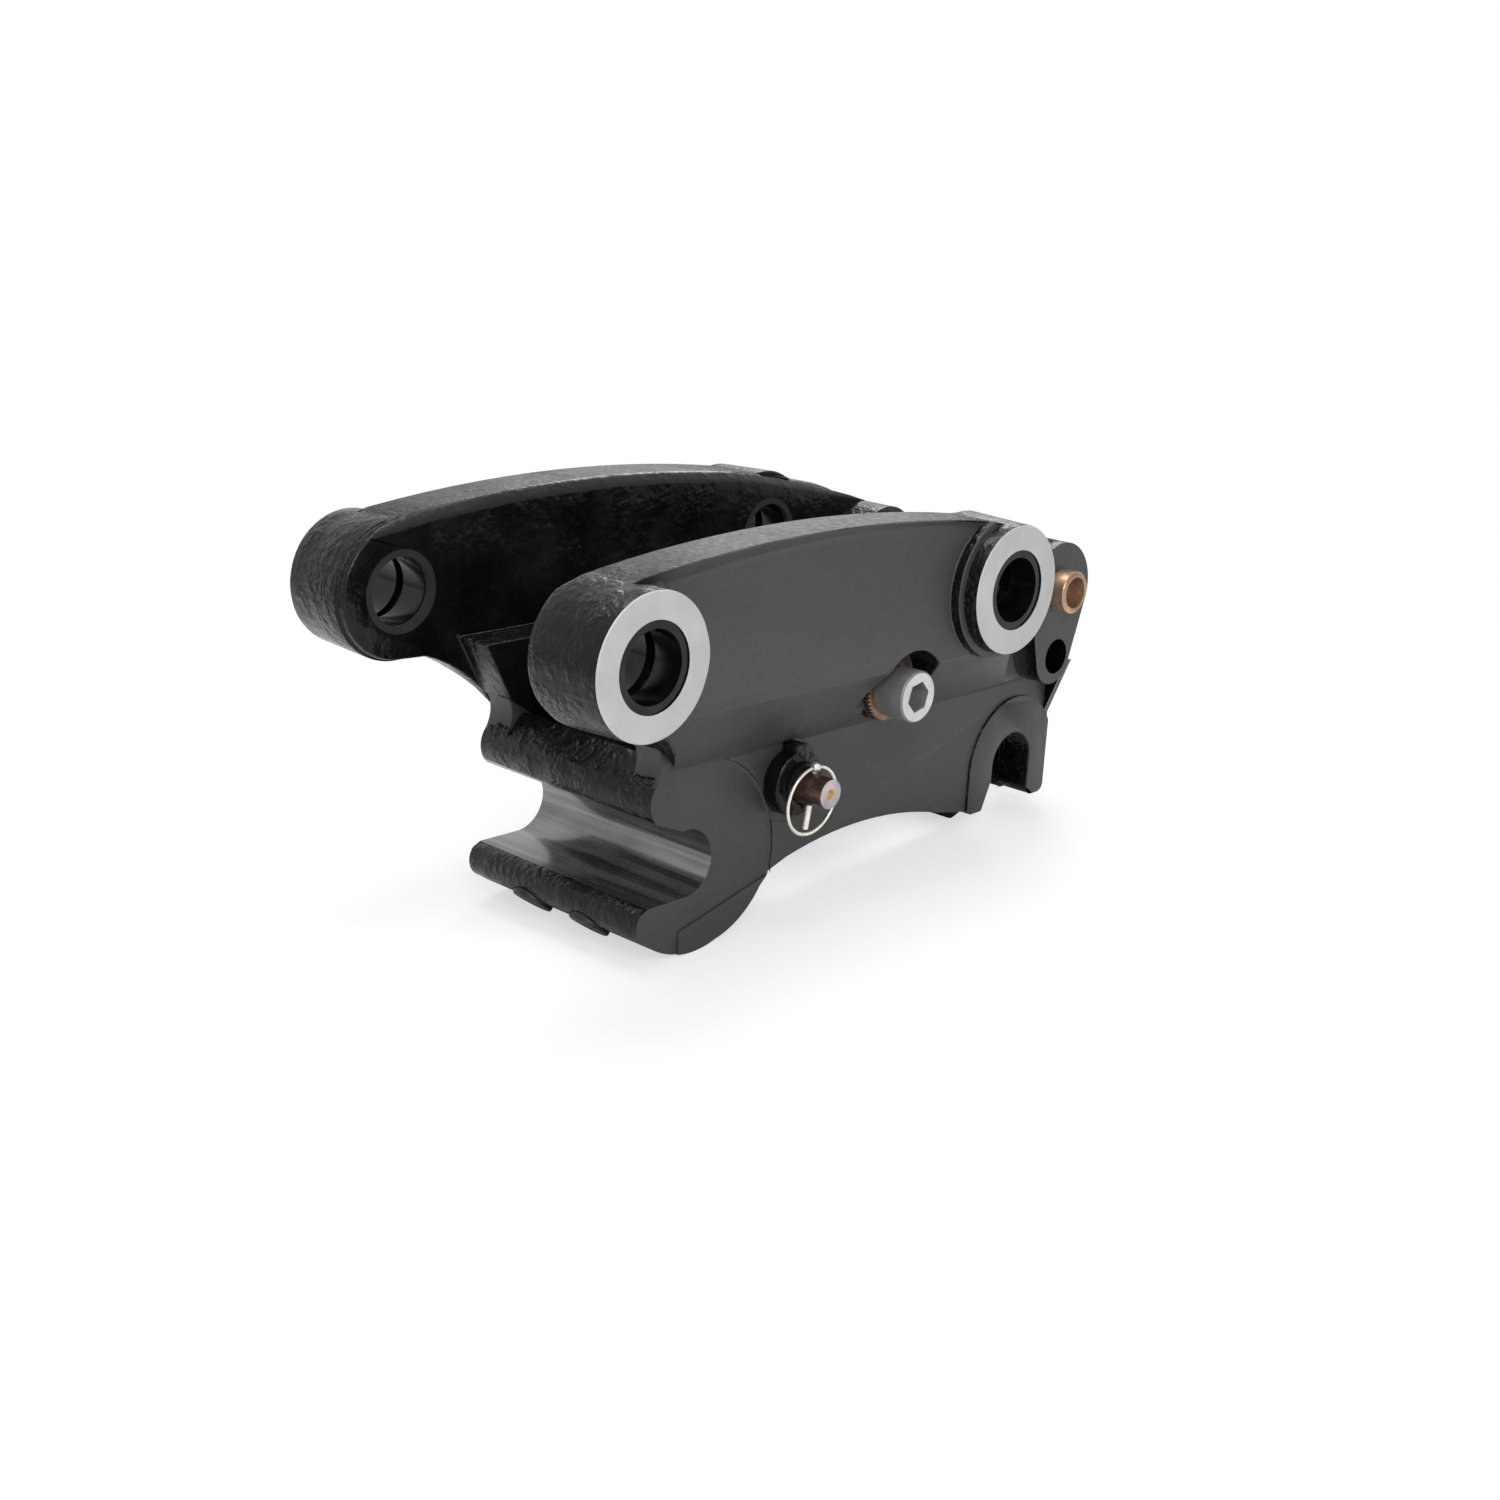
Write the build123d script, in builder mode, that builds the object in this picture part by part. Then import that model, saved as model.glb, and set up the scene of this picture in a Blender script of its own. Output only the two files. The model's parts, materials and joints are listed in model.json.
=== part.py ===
from build123d import *
from math import asin, atan2, cos, degrees, hypot, radians, sin, sqrt
import os

# Quick hitch for an excavator. All sizes are in millimetres.
# The origin is the middle of the front (dipper) pin line. +X runs to the rear, +Y to the right, +Z up.
# The hitch stands on its front jaw and on the latch's heel, so the line through the two upper pins
# falls a little to the rear. Outlines are drawn in that line's own frame: u to the rear, v up.

# Pin lines
pin_spacing = 345.0        # dipper pin to link pin, and front jaw to rear slot
pin_r = 22.5               # radius of the pins that the bushes take

# Widths, each measured from the mid plane
boss_half = 145.0          # outer faces of the pin bosses
flange_half = 128.5        # outer edge of the top flange
panel_half = 115.0         # outer face of the upper panel, at the dipper pin line
panel_lean = 0.038         # growth of that per millimetre to the rear
lug_half = 109.0           # outer faces of the rear lugs
gap_half = 86.5            # inner faces of the upper cheeks
wall_half = 84.0           # outer faces of the lower walls
seat_half = 83.5           # machined seats of the locking pin's collars
wall_in_half = 58.0        # inner faces of the lower walls
jaw_half = 82.5            # milled ends of the jaw beam

# Fits and clearances
running = 0.05             # radial, shaft in bush
pin_play = 0.25            # radial, pins that are pushed in by hand
seated = 0.05              # radial, fixed pieces in their bores
clear = 0.3                # between bodies that pass each other

# Bosses, bushes and seals
boss_r = 45.0
boss_draft = 2.0           # growth of the boss radius from its outer face to its root
boss_inset = 6.5           # step of the bosses' inner ends from the cheek's inner face
skirt_r = 50.0             # low step round the root of each boss
skirt_rise = 6.0
bush_wall = 5.3
grease_gap = 7.5           # between the two bushes of a boss
bush_inset = 1.0           # outer bush, from the boss face
seal_width = 5.0
seal_relief = 0.3          # how far a seal's mouth stands back from the pin

# Upper panel
crown_u = 163.0
crown_v = 58.3             # highest point of the top edge
crown_r = 1215.0
flange_edge = 1.0          # thickness of the flange at its outer edge
flange_hollow = 8.0        # radius of the hollow under the flange
flange_bevel = 6.0         # bevel of its inner edge
flange_rear = 330.0
valley_start = 366.0       # the plate thins between the link boss and the rear lug
valley_end = 420.0
flare_run = 11.5           # the flared cut starts this far outside the flange
crease_v = -46.0           # where the panel starts to slope in
foot_v = -94.0             # where the slope meets the lower wall
ledge_v = -36.0            # top of the lower wall, seen from inside the gap
link_clear_r = 57.0        # space round the link pin for the link's boss
arch_v = -168.0            # top of the arch under the walls

# Front jaw
jaw_u = 96.0
jaw_v = -158.6
jaw_r = 23.0
beam_u = 102.7             # centre of the round seat between beam and cheeks
beam_v = -162.7
beam_r = 72.7
sole_u = 104.0             # centre of the round underside
sole_v = -155.0
sole_r = 66.0
button_r = 14.5
button_height = 3.0
button_sunk = 1.8
button_half = 28.0
button_angle = 233.0       # place of the buttons round the underside
web_front = 96.0
web_rear = 116.0
web_top = -52.0

# Rear slot
slot_r = 22.5
slot_rise = 1.6            # the slot lies this much higher than the jaw
horseshoe_r = 51.5
pad_rise = 2.0
leg_v = -188.5
leg_flare = 10.0
rib_half = 50.0            # inner end of the rib behind the rear slot
rib_front = 466.0
rib_top = -104.0

# Rear lugs
lug_u = 451.0
lug_v = -20.0
lug_r = 35.0
lock_hole_u = 453.0
lock_hole_v = -71.0
lock_hole_r = 13.2
lock_lug_u = 449.5
lock_lug_r = 20.5
gusset_half = 101.0        # top of the gusset under the lug
gusset_top = -80.0
gusset_low = -125.0
gusset_front = 480.0
pivot_r = 15.5
pivot_end = 13.0           # how far the pivot pin stands out of the lugs
pivot_cup_r = 11.5
pivot_cup_depth = 15.0
dowel_r = 3.0
dowel_half = 83.5
dowel_start = 452.0        # inner end of each dowel, from the dipper pin line

# Cap screws, washers and anchor shaft
screw_u = 265.0
screw_v = -66.0
screw_r = 12.0
screw_head_r = 18.0
screw_head = 24.0
screw_reach = 42.0         # tip of each screw, from the mid plane
screw_edge = 1.2
hex_flats = 19.0
hex_depth = 13.0
washer_r = 21.5
washer_t = 3.3             # one of the pair
spotface_r = 31.0
spotface_half = 98.5
anchor_r = 20.0
anchor_spigot = 20.0       # how far the shaft sits in each wall

# Locking pin, collars and linch pin
lock_u = 187.0
lock_v = -120.0
lock_r = 12.0
lock_tip_r = 10.0
lock_tip_half = 123.0
lock_tip_length = 18.0
lock_centre_r = 3.5
lock_head_r = 20.0
lock_head = 8.0
collar_r = 22.5
collar_t = 12.0
collar_sleeve_r = 16.0
collar_nose = 5.0
tab_width = 11.0
tab_height = 5.0
linch_r = 2.3
linch_half = 106.5
linch_above = 15.2
linch_below = 30.0
linch_head_r = 3.6
linch_lean = 8.0           # degrees that the top of the linch pin leans outwards
wire_r = 1.2
wire_hole_r = 1.8
wire_ring_r = 23.5
ring_lean = 3.5

# Latch
latch_gap = 1.5            # between each side of the latch and the lower walls
nose_half = 46.0
nose_from_u = 424.0
hub_r = 29.0
latch_bush_wall = 4.0
latch_bush_length = 30.0
thrust_t = 3.5
throat_r = 25.5
heel_u = 411.0
heel_v = -193.2
heel_r = 10.0

# Spring strut
ball_u = 392.0
ball_v = -132.6
ball_r = 10.0
cup_play = 2.5
yoke_r = 32.0
yoke_half = 22.0
guide_r = 12.5
guide_start = 22.6         # floor of the guide's blind bore, from the anchor axis
guide_end = 75.0
rod_r = 8.0
rod_start = 54.0
coil_seat = 40.0           # spring seat on the yoke, from the anchor axis
nut_back = 31.403          # spring seat on the rod, from the centre of its ball
coil_wire_r = 3.0
coil_r = 17.0
coil_spacing = 10.0        # least pitch of the coil
nut_r = 15.5
nut_t = 8.0
nut_collar_r = 20.5
nut_collar_t = 6.0

# The ground line touches the round underside of the jaw and the heel of the latch
span = hypot(heel_u - sole_u, heel_v - sole_v)
stand_tilt = degrees(atan2(heel_v - sole_v, heel_u - sole_u) + asin((sole_r - heel_r) / span))
pin_line = Vector(cos(radians(stand_tilt)), 0, -sin(radians(stand_tilt)))
pin_up = Vector(sin(radians(stand_tilt)), 0, cos(radians(stand_tilt)))
across = Vector(0, 1, 0)

latch_half = wall_in_half - latch_gap
slot_u = jaw_u + pin_spacing
slot_v = jaw_v + slot_rise
bush_r = pin_r + bush_wall
root_r = boss_r + boss_draft
cheek_rear = lug_u + lug_r
cheek_front = -60.0
beyond = 400.0             # longer than any cut needs


def place(u, y, v):
    """Point of the row frame, from u along the pin line, y across and v above it."""
    return pin_line * u + across * y + pin_up * v


def side(half=0.0, u=0.0, v=0.0):
    """Sketch plane at a distance left of the mid plane; its normal points left."""
    return Plane(origin=place(u, -half, v), x_dir=pin_line, z_dir=across * -1)


def section(u):
    """Sketch plane square to the pin line at u: x runs to the left, y up."""
    return Plane(origin=place(u, 0, 0), x_dir=across * -1, z_dir=pin_line * -1)


def pin_axis(u, v):
    """Axis of a pin that runs across the hitch."""
    return Axis(origin=place(u, 0, v), direction=across)


def on_circle(u, v, r, angle):
    """Point on a circle, by its angle in degrees above the rear."""
    return (u + r * cos(radians(angle)), v + r * sin(radians(angle)))


def finish(piece, name):
    piece.part.label = name
    export_step(piece.part, f"parts/{name}.step")


def mirrored(source, name):
    """The right-hand copy of a left-hand piece."""
    with BuildPart() as copy:
        mirror(source.part, about=Plane.XZ)
    finish(copy, name)


def pin_ring(name, u, v, low, high, outer, inner):
    """A ring round a cross axis on the left side, between two distances from the mid plane."""
    with BuildPart() as piece:
        with BuildSketch(side(low, u, v)):
            Circle(outer)
            Circle(inner, mode=Mode.SUBTRACT)
        extrude(amount=high - low)
    finish(piece, "left_" + name)
    mirrored(piece, "right_" + name)


def dowel_plane(end):
    """Plane at the inner end of a dowel; its normal points to the rear."""
    return Plane(origin=place(dowel_start, end * dowel_half, lug_v), x_dir=across, z_dir=pin_line)


def round_face(half, u, v, r):
    """A disc on the left side."""
    with BuildSketch(side(half, u, v)) as disc:
        Circle(r)
    return disc.sketch


os.makedirs("parts", exist_ok=True)



def crown(u, rise=0.0):
    """Point of the top edge, or of an arc that runs a little above it."""
    return (u, crown_v - crown_r + sqrt((crown_r + rise) ** 2 - (u - crown_u) ** 2))


# Points that several outlines share
nose_top = on_circle(0, 0, boss_r, 100)
dipper_top = crown(4)
link_top = crown(flange_rear)
lug_top = on_circle(lug_u, lug_v, lug_r, 66)
panel_rear = lug_u - 21
beam_front = on_circle(beam_u, beam_v, beam_r, 100)
beam_heel = on_circle(beam_u, beam_v, beam_r, -17.5)
lip_crest = (80, -88)
lip_front = (66, -102)
cheek_nose = (68, -77)
slot_front = slot_u - slot_r
slot_back = slot_u + slot_r
pad_front = slot_u - horseshoe_r


def upper_outline(half):
    """Side view of the upper panel, from the dipper boss to the rear lug."""
    with BuildSketch(side(half)) as outline:
        with BuildLine():
            ThreePointArc(dipper_top, (crown_u, crown_v), link_top)
            Line(link_top, (400, 33))
            Line((400, 33), lug_top)
            Line(lug_top, (lug_u, lug_v))
            Line((lug_u, lug_v), (panel_rear, lug_v - 28))
            Line((panel_rear, lug_v - 28), (panel_rear - 4, foot_v))
            Line((panel_rear - 4, foot_v), (80, foot_v))
            Line((80, foot_v), cheek_nose)
            ThreePointArc(cheek_nose, (48, -60), (20, -boss_r - 1))
            Line((20, -boss_r - 1), (0, -boss_r))
            ThreePointArc((0, -boss_r), (-boss_r, 0), nose_top)
            Line(nose_top, dipper_top)
        make_face()
    return outline.sketch


def lower_outline(half):
    """Side view of the lower wall, seated on the jaw beam, with the arch and the rear slot."""
    seat_r = beam_r + clear
    seat_front = on_circle(beam_u, beam_v, seat_r, 100)
    seat_heel = on_circle(beam_u, beam_v, seat_r, -16)
    with BuildSketch(side(half)) as outline:
        with BuildLine():
            Line((46, ledge_v), cheek_nose)
            Line(cheek_nose, seat_front)
            ThreePointArc(seat_front, on_circle(beam_u, beam_v, seat_r, 42), seat_heel)
            Line(seat_heel, (192, -176.6))
            ThreePointArc((192, -176.6), (267, arch_v), (356, -180))
            Line((356, -180), (pad_front, leg_v + 2))
            Line((pad_front, leg_v + 2), (pad_front + 6, leg_v - 1))
            Line((pad_front + 6, leg_v - 1), (slot_front - leg_flare, leg_v - 1))
            Line((slot_front - leg_flare, leg_v - 1), (slot_front, slot_v - 10))
            Line((slot_front, slot_v - 10), (slot_front, slot_v))
            ThreePointArc((slot_front, slot_v), (slot_u, slot_v + slot_r), (slot_back, slot_v))
            Line((slot_back, slot_v), (slot_back, leg_v + 9))
            ThreePointArc((slot_back, leg_v + 9), (slot_back + 2.6, leg_v + 2.6), (slot_back + 9, leg_v))
            Line((slot_back + 9, leg_v), (cheek_rear - 7, leg_v))
            ThreePointArc((cheek_rear - 7, leg_v), (cheek_rear - 2, leg_v + 2), (cheek_rear, leg_v + 7))
            Line((cheek_rear, leg_v + 7), (cheek_rear, lug_v))
            ThreePointArc((cheek_rear, lug_v), (lug_u, lug_v + lug_r), (lug_u - lug_r, lug_v))
            Line((lug_u - lug_r, lug_v), (lug_u - lug_r - 5, ledge_v))
            ThreePointArc(
                (lug_u - lug_r - 5, ledge_v),
                (pin_spacing + 20, -sqrt(link_clear_r**2 - 20**2)),
                (pin_spacing - sqrt(link_clear_r**2 - ledge_v**2), ledge_v),
            )
            Line((pin_spacing - sqrt(link_clear_r**2 - ledge_v**2), ledge_v), (46, ledge_v))
        make_face()
    return outline.sketch


def lug_outline(half):
    """Side view of the rear lug for the pivot pin, running down to the locking hole."""
    with BuildSketch(side(half)) as outline:
        with Locations((lug_u, lug_v)):
            Circle(lug_r)
        with Locations((lock_lug_u, lock_hole_v)):
            Circle(lock_lug_r)
        make_hull()
    return outline.sketch


def outer_section(u):
    """Section of the space outside the cheek: panel, slope and lower wall."""
    panel = panel_half + panel_lean * u
    with BuildSketch(section(u)) as space:
        with BuildLine():
            Polyline(
                (panel, beyond),
                (panel, crease_v),
                (wall_half, foot_v),
                (wall_half, -beyond),
                (boss_half + 30, -beyond),
                (boss_half + 30, beyond),
                close=True,
            )
        make_face()
        fillet(space.vertices().filter_by(lambda c: abs(c.Z - place(u, 0, crease_v).Z) < 1), 10)
        fillet(space.vertices().filter_by(lambda c: abs(c.Z - place(u, 0, foot_v).Z) < 1), 20)
    return space.sketch


# Space outside the cheek, with a flared and hollow roof that leaves the flange standing
with BuildPart() as outer_space:
    loft([outer_section(cheek_front - 20), outer_section(cheek_rear + 20)], ruled=True)
    mould_half = flange_half + flare_run
    roof_front = cheek_front - mould_half
    roof_rear = cheek_rear + mould_half
    flare = flare_run - flange_edge
    with BuildSketch(side(mould_half)):
        with BuildLine():
            Line((roof_front, -beyond), crown(roof_front, flare))
            ThreePointArc(crown(roof_front, flare), crown(crown_u, flare), crown(roof_rear, flare))
            Line(crown(roof_rear, flare), (roof_rear, -beyond))
            Line((roof_rear, -beyond), (roof_front, -beyond))
        make_face()
    extrude(amount=wall_in_half - mould_half, taper=45, mode=Mode.INTERSECT)
    hollow_edge = outer_space.edges().filter_by(
        lambda e: -flange_half < e.center().Y < -panel_half and e.center().Z > 0 and e.length > flange_rear
    )
    fillet(hollow_edge, flange_hollow)
    # Outside the flange
    with BuildSketch(side(flange_half)):
        with Locations((crown_u, 0)):
            Rectangle(cheek_rear * 2, beyond * 2)
    extrude(amount=beyond)
    # Valley between the link boss and the rear lug
    with BuildSketch(Plane(origin=place(0, 0, -beyond), x_dir=pin_line, z_dir=pin_up)):
        with BuildLine():
            Polyline(
                (valley_start, -flange_half - 1),
                (valley_end, -gap_half - 1.5),
                (cheek_rear + 10, -gap_half - 1.5),
                (cheek_rear + 10, -beyond),
                (valley_start, -beyond),
                close=True,
            )
        make_face()
    extrude(amount=beyond * 2)
    # The low steps round the roots of the two bosses are left standing
    for boss_u in (0, pin_spacing):
        extrude(
            round_face(wall_in_half, boss_u, 0, skirt_r),
            amount=panel_half + panel_lean * boss_u + skirt_rise - wall_in_half,
            mode=Mode.SUBTRACT,
        )
    # So are the rear lug and the gusset under it
    extrude(lug_outline(wall_in_half), amount=lug_half - wall_in_half, mode=Mode.SUBTRACT)
    with BuildSketch(section(gusset_front)):
        with BuildLine():
            Polyline(
                (wall_in_half, gusset_top),
                (gusset_half, gusset_top),
                (wall_half, gusset_low),
                (wall_in_half, gusset_low),
                close=True,
            )
        make_face()
    extrude(amount=-beyond, mode=Mode.SUBTRACT)
    # Raised horseshoe round the rear slot, and seat of the cap screw
    with BuildSketch(side(wall_in_half)):
        with Locations((slot_u, slot_v)):
            Circle(horseshoe_r)
        with Locations((slot_u, (slot_v + leg_v) / 2 - 5)):
            Rectangle(horseshoe_r * 2, slot_v - leg_v + 10)
    extrude(amount=wall_half + pad_rise - wall_in_half, mode=Mode.SUBTRACT)
    extrude(
        round_face(wall_in_half, screw_u, screw_v, washer_r + 1),
        amount=spotface_half - wall_in_half,
        mode=Mode.SUBTRACT,
    )

# Left cheek
with BuildPart() as left_cheek:
    extrude(upper_outline(gap_half), amount=boss_half - 1 - gap_half)
    inner_edge = left_cheek.edges().filter_by(
        lambda e: abs(e.center().Y + gap_half) < 0.01 and e.length > flange_rear * 0.9
    ).sort_by(lambda e: (e @ 0.5).Z)[-1]
    chamfer(inner_edge, flange_bevel)
    # Lower wall with a rib behind the rear slot, then the whole outside face
    extrude(lower_outline(wall_in_half), amount=lug_half + 1 - wall_in_half)
    with BuildSketch(side(rib_half)):
        with BuildLine():
            Polyline(
                (rib_front, rib_top),
                (cheek_rear, rib_top),
                (cheek_rear, leg_v + 7),
                (cheek_rear - 7, leg_v),
                (rib_front, leg_v),
                close=True,
            )
        make_face()
    extrude(amount=wall_in_half - rib_half + 2)
    add(outer_space.part, mode=Mode.SUBTRACT)
    # Pin bosses with their casting draft
    boss_start = gap_half + boss_inset
    draft = degrees(atan2(boss_draft, boss_half - boss_start))
    for boss_u in (0, pin_spacing):
        extrude(round_face(boss_start, boss_u, 0, root_r), amount=boss_half - boss_start, taper=draft)
    # Spotface for the cap screw
    extrude(round_face(spotface_half, screw_u, screw_v, spotface_r), amount=60, mode=Mode.SUBTRACT)
    extrude(round_face(wall_in_half, screw_u, screw_v, screw_r + 1), amount=60, mode=Mode.SUBTRACT)
    extrude(
        round_face(wall_in_half, screw_u, screw_v, anchor_r + seated),
        amount=anchor_spigot,
        mode=Mode.SUBTRACT,
    )
    # Flat seat for the collar of the locking pin
    extrude(
        round_face(seat_half, lock_u, lock_v, collar_r + tab_height + 1.5),
        amount=30,
        mode=Mode.SUBTRACT,
    )
    # Bores for the bushes, the collar, the pivot pin and the locking pin
    for bore_u, bore_v, bore in (
        (0, 0, bush_r + seated),
        (pin_spacing, 0, bush_r + seated),
        (lock_u, lock_v, collar_sleeve_r + seated),
        (lug_u, lug_v, pivot_r + seated),
        (lock_hole_u, lock_hole_v, lock_hole_r),
    ):
        extrude(round_face(0, bore_u, bore_v, bore), amount=boss_half + 1, mode=Mode.SUBTRACT)
    with BuildSketch(dowel_plane(-1)):
        Circle(dowel_r + seated)
    extrude(amount=beyond, mode=Mode.SUBTRACT)
finish(left_cheek, "left_cheek")
mirrored(left_cheek, "right_cheek")

# Places of the wear buttons under the lower lip
button_spot = on_circle(sole_u, sole_v, sole_r - button_sunk, button_angle)
button_out = pin_line * cos(radians(button_angle)) + pin_up * sin(radians(button_angle))
button_faces = [Plane(origin=place(button_spot[0], y, button_spot[1]), z_dir=button_out)
                for y in (-button_half, button_half)]

# Jaw beam: open jaw, upper lip, lower lip and round underside in one casting
with BuildPart() as jaw_beam:
    with BuildSketch(side(-wall_half)):
        with BuildLine():
            ThreePointArc(beam_front, on_circle(beam_u, beam_v, beam_r, 41), beam_heel)
            Line(beam_heel, (166, -190))
            ThreePointArc((166, -190), (147, -208.5), (124.6, -217.5))
            ThreePointArc((124.6, -217.5), (sole_u, sole_v - sole_r), on_circle(sole_u, sole_v, sole_r, 231))
            ThreePointArc(on_circle(sole_u, sole_v, sole_r, 231), (54.6, -199), (56.6, -184.5))
            Line((56.6, -184.5), (63, jaw_v - jaw_r))
            Line((63, jaw_v - jaw_r), (jaw_u, jaw_v - jaw_r))
            ThreePointArc((jaw_u, jaw_v - jaw_r), (jaw_u + jaw_r, jaw_v), on_circle(jaw_u, jaw_v, jaw_r, 100))
            Line(on_circle(jaw_u, jaw_v, jaw_r, 100), (68, -126))
            ThreePointArc((68, -126), (62.5, -115), lip_front)
            Line(lip_front, lip_crest)
            Line(lip_crest, beam_front)
        make_face()
    extrude(amount=wall_half * 2)
    # Both ends milled back, down to a step over the underside
    for end in (-1, 1):
        with BuildSketch(side(end * wall_half)):
            with BuildLine():
                Polyline(
                    (90.6, -beyond),
                    (90.6, -203.9),
                    (163, -186),
                    (cheek_rear, -120),
                    (cheek_rear, 0),
                    (0, 0),
                    (0, -beyond),
                    close=True,
                )
            make_face()
        extrude(amount=-end * (wall_half - jaw_half), mode=Mode.SUBTRACT)
    # Seats for the wear buttons
    for button_face in button_faces:
        with BuildSketch(button_face):
            Circle(button_r + clear)
        extrude(amount=button_sunk + 12, mode=Mode.SUBTRACT)
finish(jaw_beam, "jaw_beam")

# Welds that fill the notch between the upper lip and each cheek
with BuildPart() as jaw_welds:
    with BuildSketch(side(wall_in_half + 2)):
        with BuildLine():
            Line(cheek_nose, on_circle(beam_u, beam_v, beam_r + clear, 100))
            Line(on_circle(beam_u, beam_v, beam_r + clear, 100), beam_front)
            Line(beam_front, lip_crest)
            Line(lip_crest, lip_front)
            ThreePointArc(lip_front, (70.5, -90), cheek_nose)
        make_face()
    extrude(amount=jaw_half - wall_in_half - 2)
    mirror(jaw_welds.part, about=Plane.XZ)
finish(jaw_welds, "jaw_welds")

# Cross web between the lower walls
with BuildPart() as cross_web:
    with BuildSketch(side(-wall_in_half)):
        with BuildLine():
            web_r = beam_r + clear
            web_low_front = (web_front, beam_v + sqrt(web_r**2 - (web_front - beam_u) ** 2))
            web_low_rear = (web_rear, beam_v + sqrt(web_r**2 - (web_rear - beam_u) ** 2))
            ThreePointArc(web_low_front, (beam_u, beam_v + web_r), web_low_rear)
            Line(web_low_rear, (web_rear, web_top))
            Line((web_rear, web_top), (web_front, web_top))
            Line((web_front, web_top), web_low_front)
        make_face()
    extrude(amount=wall_in_half * 2)
finish(cross_web, "cross_web")

# Wear buttons, let into the underside
with BuildPart() as lip_buttons:
    for button_face in button_faces:
        with BuildSketch(button_face):
            Circle(button_r)
        extrude(amount=button_sunk + button_height)
    chamfer(lip_buttons.faces().sort_by(Axis(place(0, 0, 0), button_out))[-2:].edges(), 1)
finish(lip_buttons, "lip_buttons")

# Pin bushes, two in each boss with a space for grease between them, and the seals at the inner mouths
outer_end = boss_half - bush_inset
inner_start = gap_half + seal_width + 1
bush_length = (outer_end - inner_start - grease_gap) / 2
for line_name, line_u in (("dipper", 0), ("link", pin_spacing)):
    pin_ring(line_name + "_outer_bush", line_u, 0, outer_end - bush_length, outer_end, bush_r, pin_r)
    pin_ring(line_name + "_inner_bush", line_u, 0, inner_start, inner_start + bush_length, bush_r, pin_r)
    seal_low = gap_half + 0.5
    pin_ring(line_name + "_seal", line_u, 0, seal_low, gap_half + seal_width, bush_r, pin_r + seal_relief)

# Anchor shaft between the two cap screws, tapped at both ends
anchor_half = wall_in_half + anchor_spigot - clear
with BuildPart() as anchor_shaft:
    extrude(round_face(-anchor_half, screw_u, screw_v, anchor_r), amount=anchor_half * 2)
    chamfer(anchor_shaft.faces().filter_by(Axis.Y).edges(), 1.5)
    for end in (-1, 1):
        bottom = screw_reach - 3
        extrude(
            round_face(end * anchor_half, screw_u, screw_v, screw_r + seated),
            amount=-end * (anchor_half - bottom),
            mode=Mode.SUBTRACT,
        )
finish(anchor_shaft, "anchor_shaft")

# Wedge lock washers, a pair under each screw head, with their ribbed rims
with BuildPart() as lock_washers:
    for layer in range(2):
        start = spotface_half + layer * washer_t
        with BuildSketch(side(start, screw_u, screw_v)):
            Circle(washer_r)
            Circle(screw_r + 0.6, mode=Mode.SUBTRACT)
        extrude(amount=washer_t - 0.4)
    mirror(lock_washers.part, about=Plane.XZ)
finish(lock_washers, "lock_washers")

# Socket head cap screws
head_start = spotface_half + 2 * washer_t - 0.3
with BuildPart() as cap_screws:
    extrude(round_face(screw_reach, screw_u, screw_v, screw_r), amount=head_start - screw_reach)
    extrude(round_face(head_start, screw_u, screw_v, screw_head_r), amount=screw_head)
    chamfer(cap_screws.faces().sort_by(Axis.Y)[0].edges(), screw_edge)
    with BuildSketch(side(head_start + screw_head, screw_u, screw_v)):
        RegularPolygon(hex_flats / sqrt(3), 6, rotation=12)
    extrude(amount=-hex_depth, mode=Mode.SUBTRACT)
    mirror(cap_screws.part, about=Plane.XZ)
finish(cap_screws, "cap_screws")

# Collars that carry the locking pin through the lower walls
with BuildPart() as left_pin_collar:
    sleeve_length = seat_half - wall_in_half
    collar_face = wall_half + collar_t
    extrude(round_face(wall_in_half, lock_u, lock_v, collar_sleeve_r), amount=sleeve_length)
    with BuildSketch(side(seat_half, lock_u, lock_v)):
        Circle(collar_r)
        with Locations((0, collar_r)):
            RectangleRounded(tab_width, tab_height * 2, 1.5)
    extrude(amount=collar_face - seat_half)
    chamfer(left_pin_collar.edges().filter_by(GeomType.CIRCLE).sort_by(Axis.Y).filter_by(
        lambda e: e.length > collar_r * 3 and e.center().Y < -collar_face + 0.1), 1)
    extrude(round_face(collar_face, lock_u, lock_v, collar_sleeve_r), amount=collar_nose)
    extrude(round_face(0, lock_u, lock_v, lock_r + pin_play), amount=boss_half, mode=Mode.SUBTRACT)
finish(left_pin_collar, "left_pin_collar")
mirrored(left_pin_collar, "right_pin_collar")

# Locking pin with its conical end, centre hole, head and cross hole
linch_dir = pin_up * cos(radians(linch_lean)) - across * sin(radians(linch_lean))
linch_plane = Plane(origin=place(lock_u, -linch_half, lock_v), x_dir=pin_line, z_dir=linch_dir)
cone_start = lock_tip_half - lock_tip_length
head_inner = collar_face + collar_nose + clear
cone_angle = degrees(atan2(lock_r - lock_tip_r, lock_tip_length))
with BuildPart() as locking_pin:
    extrude(round_face(-head_inner, lock_u, lock_v, lock_r), amount=head_inner + cone_start)
    extrude(round_face(cone_start, lock_u, lock_v, lock_r), amount=lock_tip_length, taper=cone_angle)
    extrude(round_face(-head_inner, lock_u, lock_v, lock_head_r), amount=-lock_head)
    chamfer(locking_pin.faces().sort_by(Axis.Y)[-1].edges(), 1.5)
    extrude(round_face(lock_tip_half, lock_u, lock_v, lock_centre_r), amount=-4, mode=Mode.SUBTRACT)
    with BuildSketch(linch_plane):
        Circle(linch_r + pin_play)
    extrude(amount=lock_r + 5, both=True, mode=Mode.SUBTRACT)
finish(locking_pin, "locking_pin")

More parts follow.
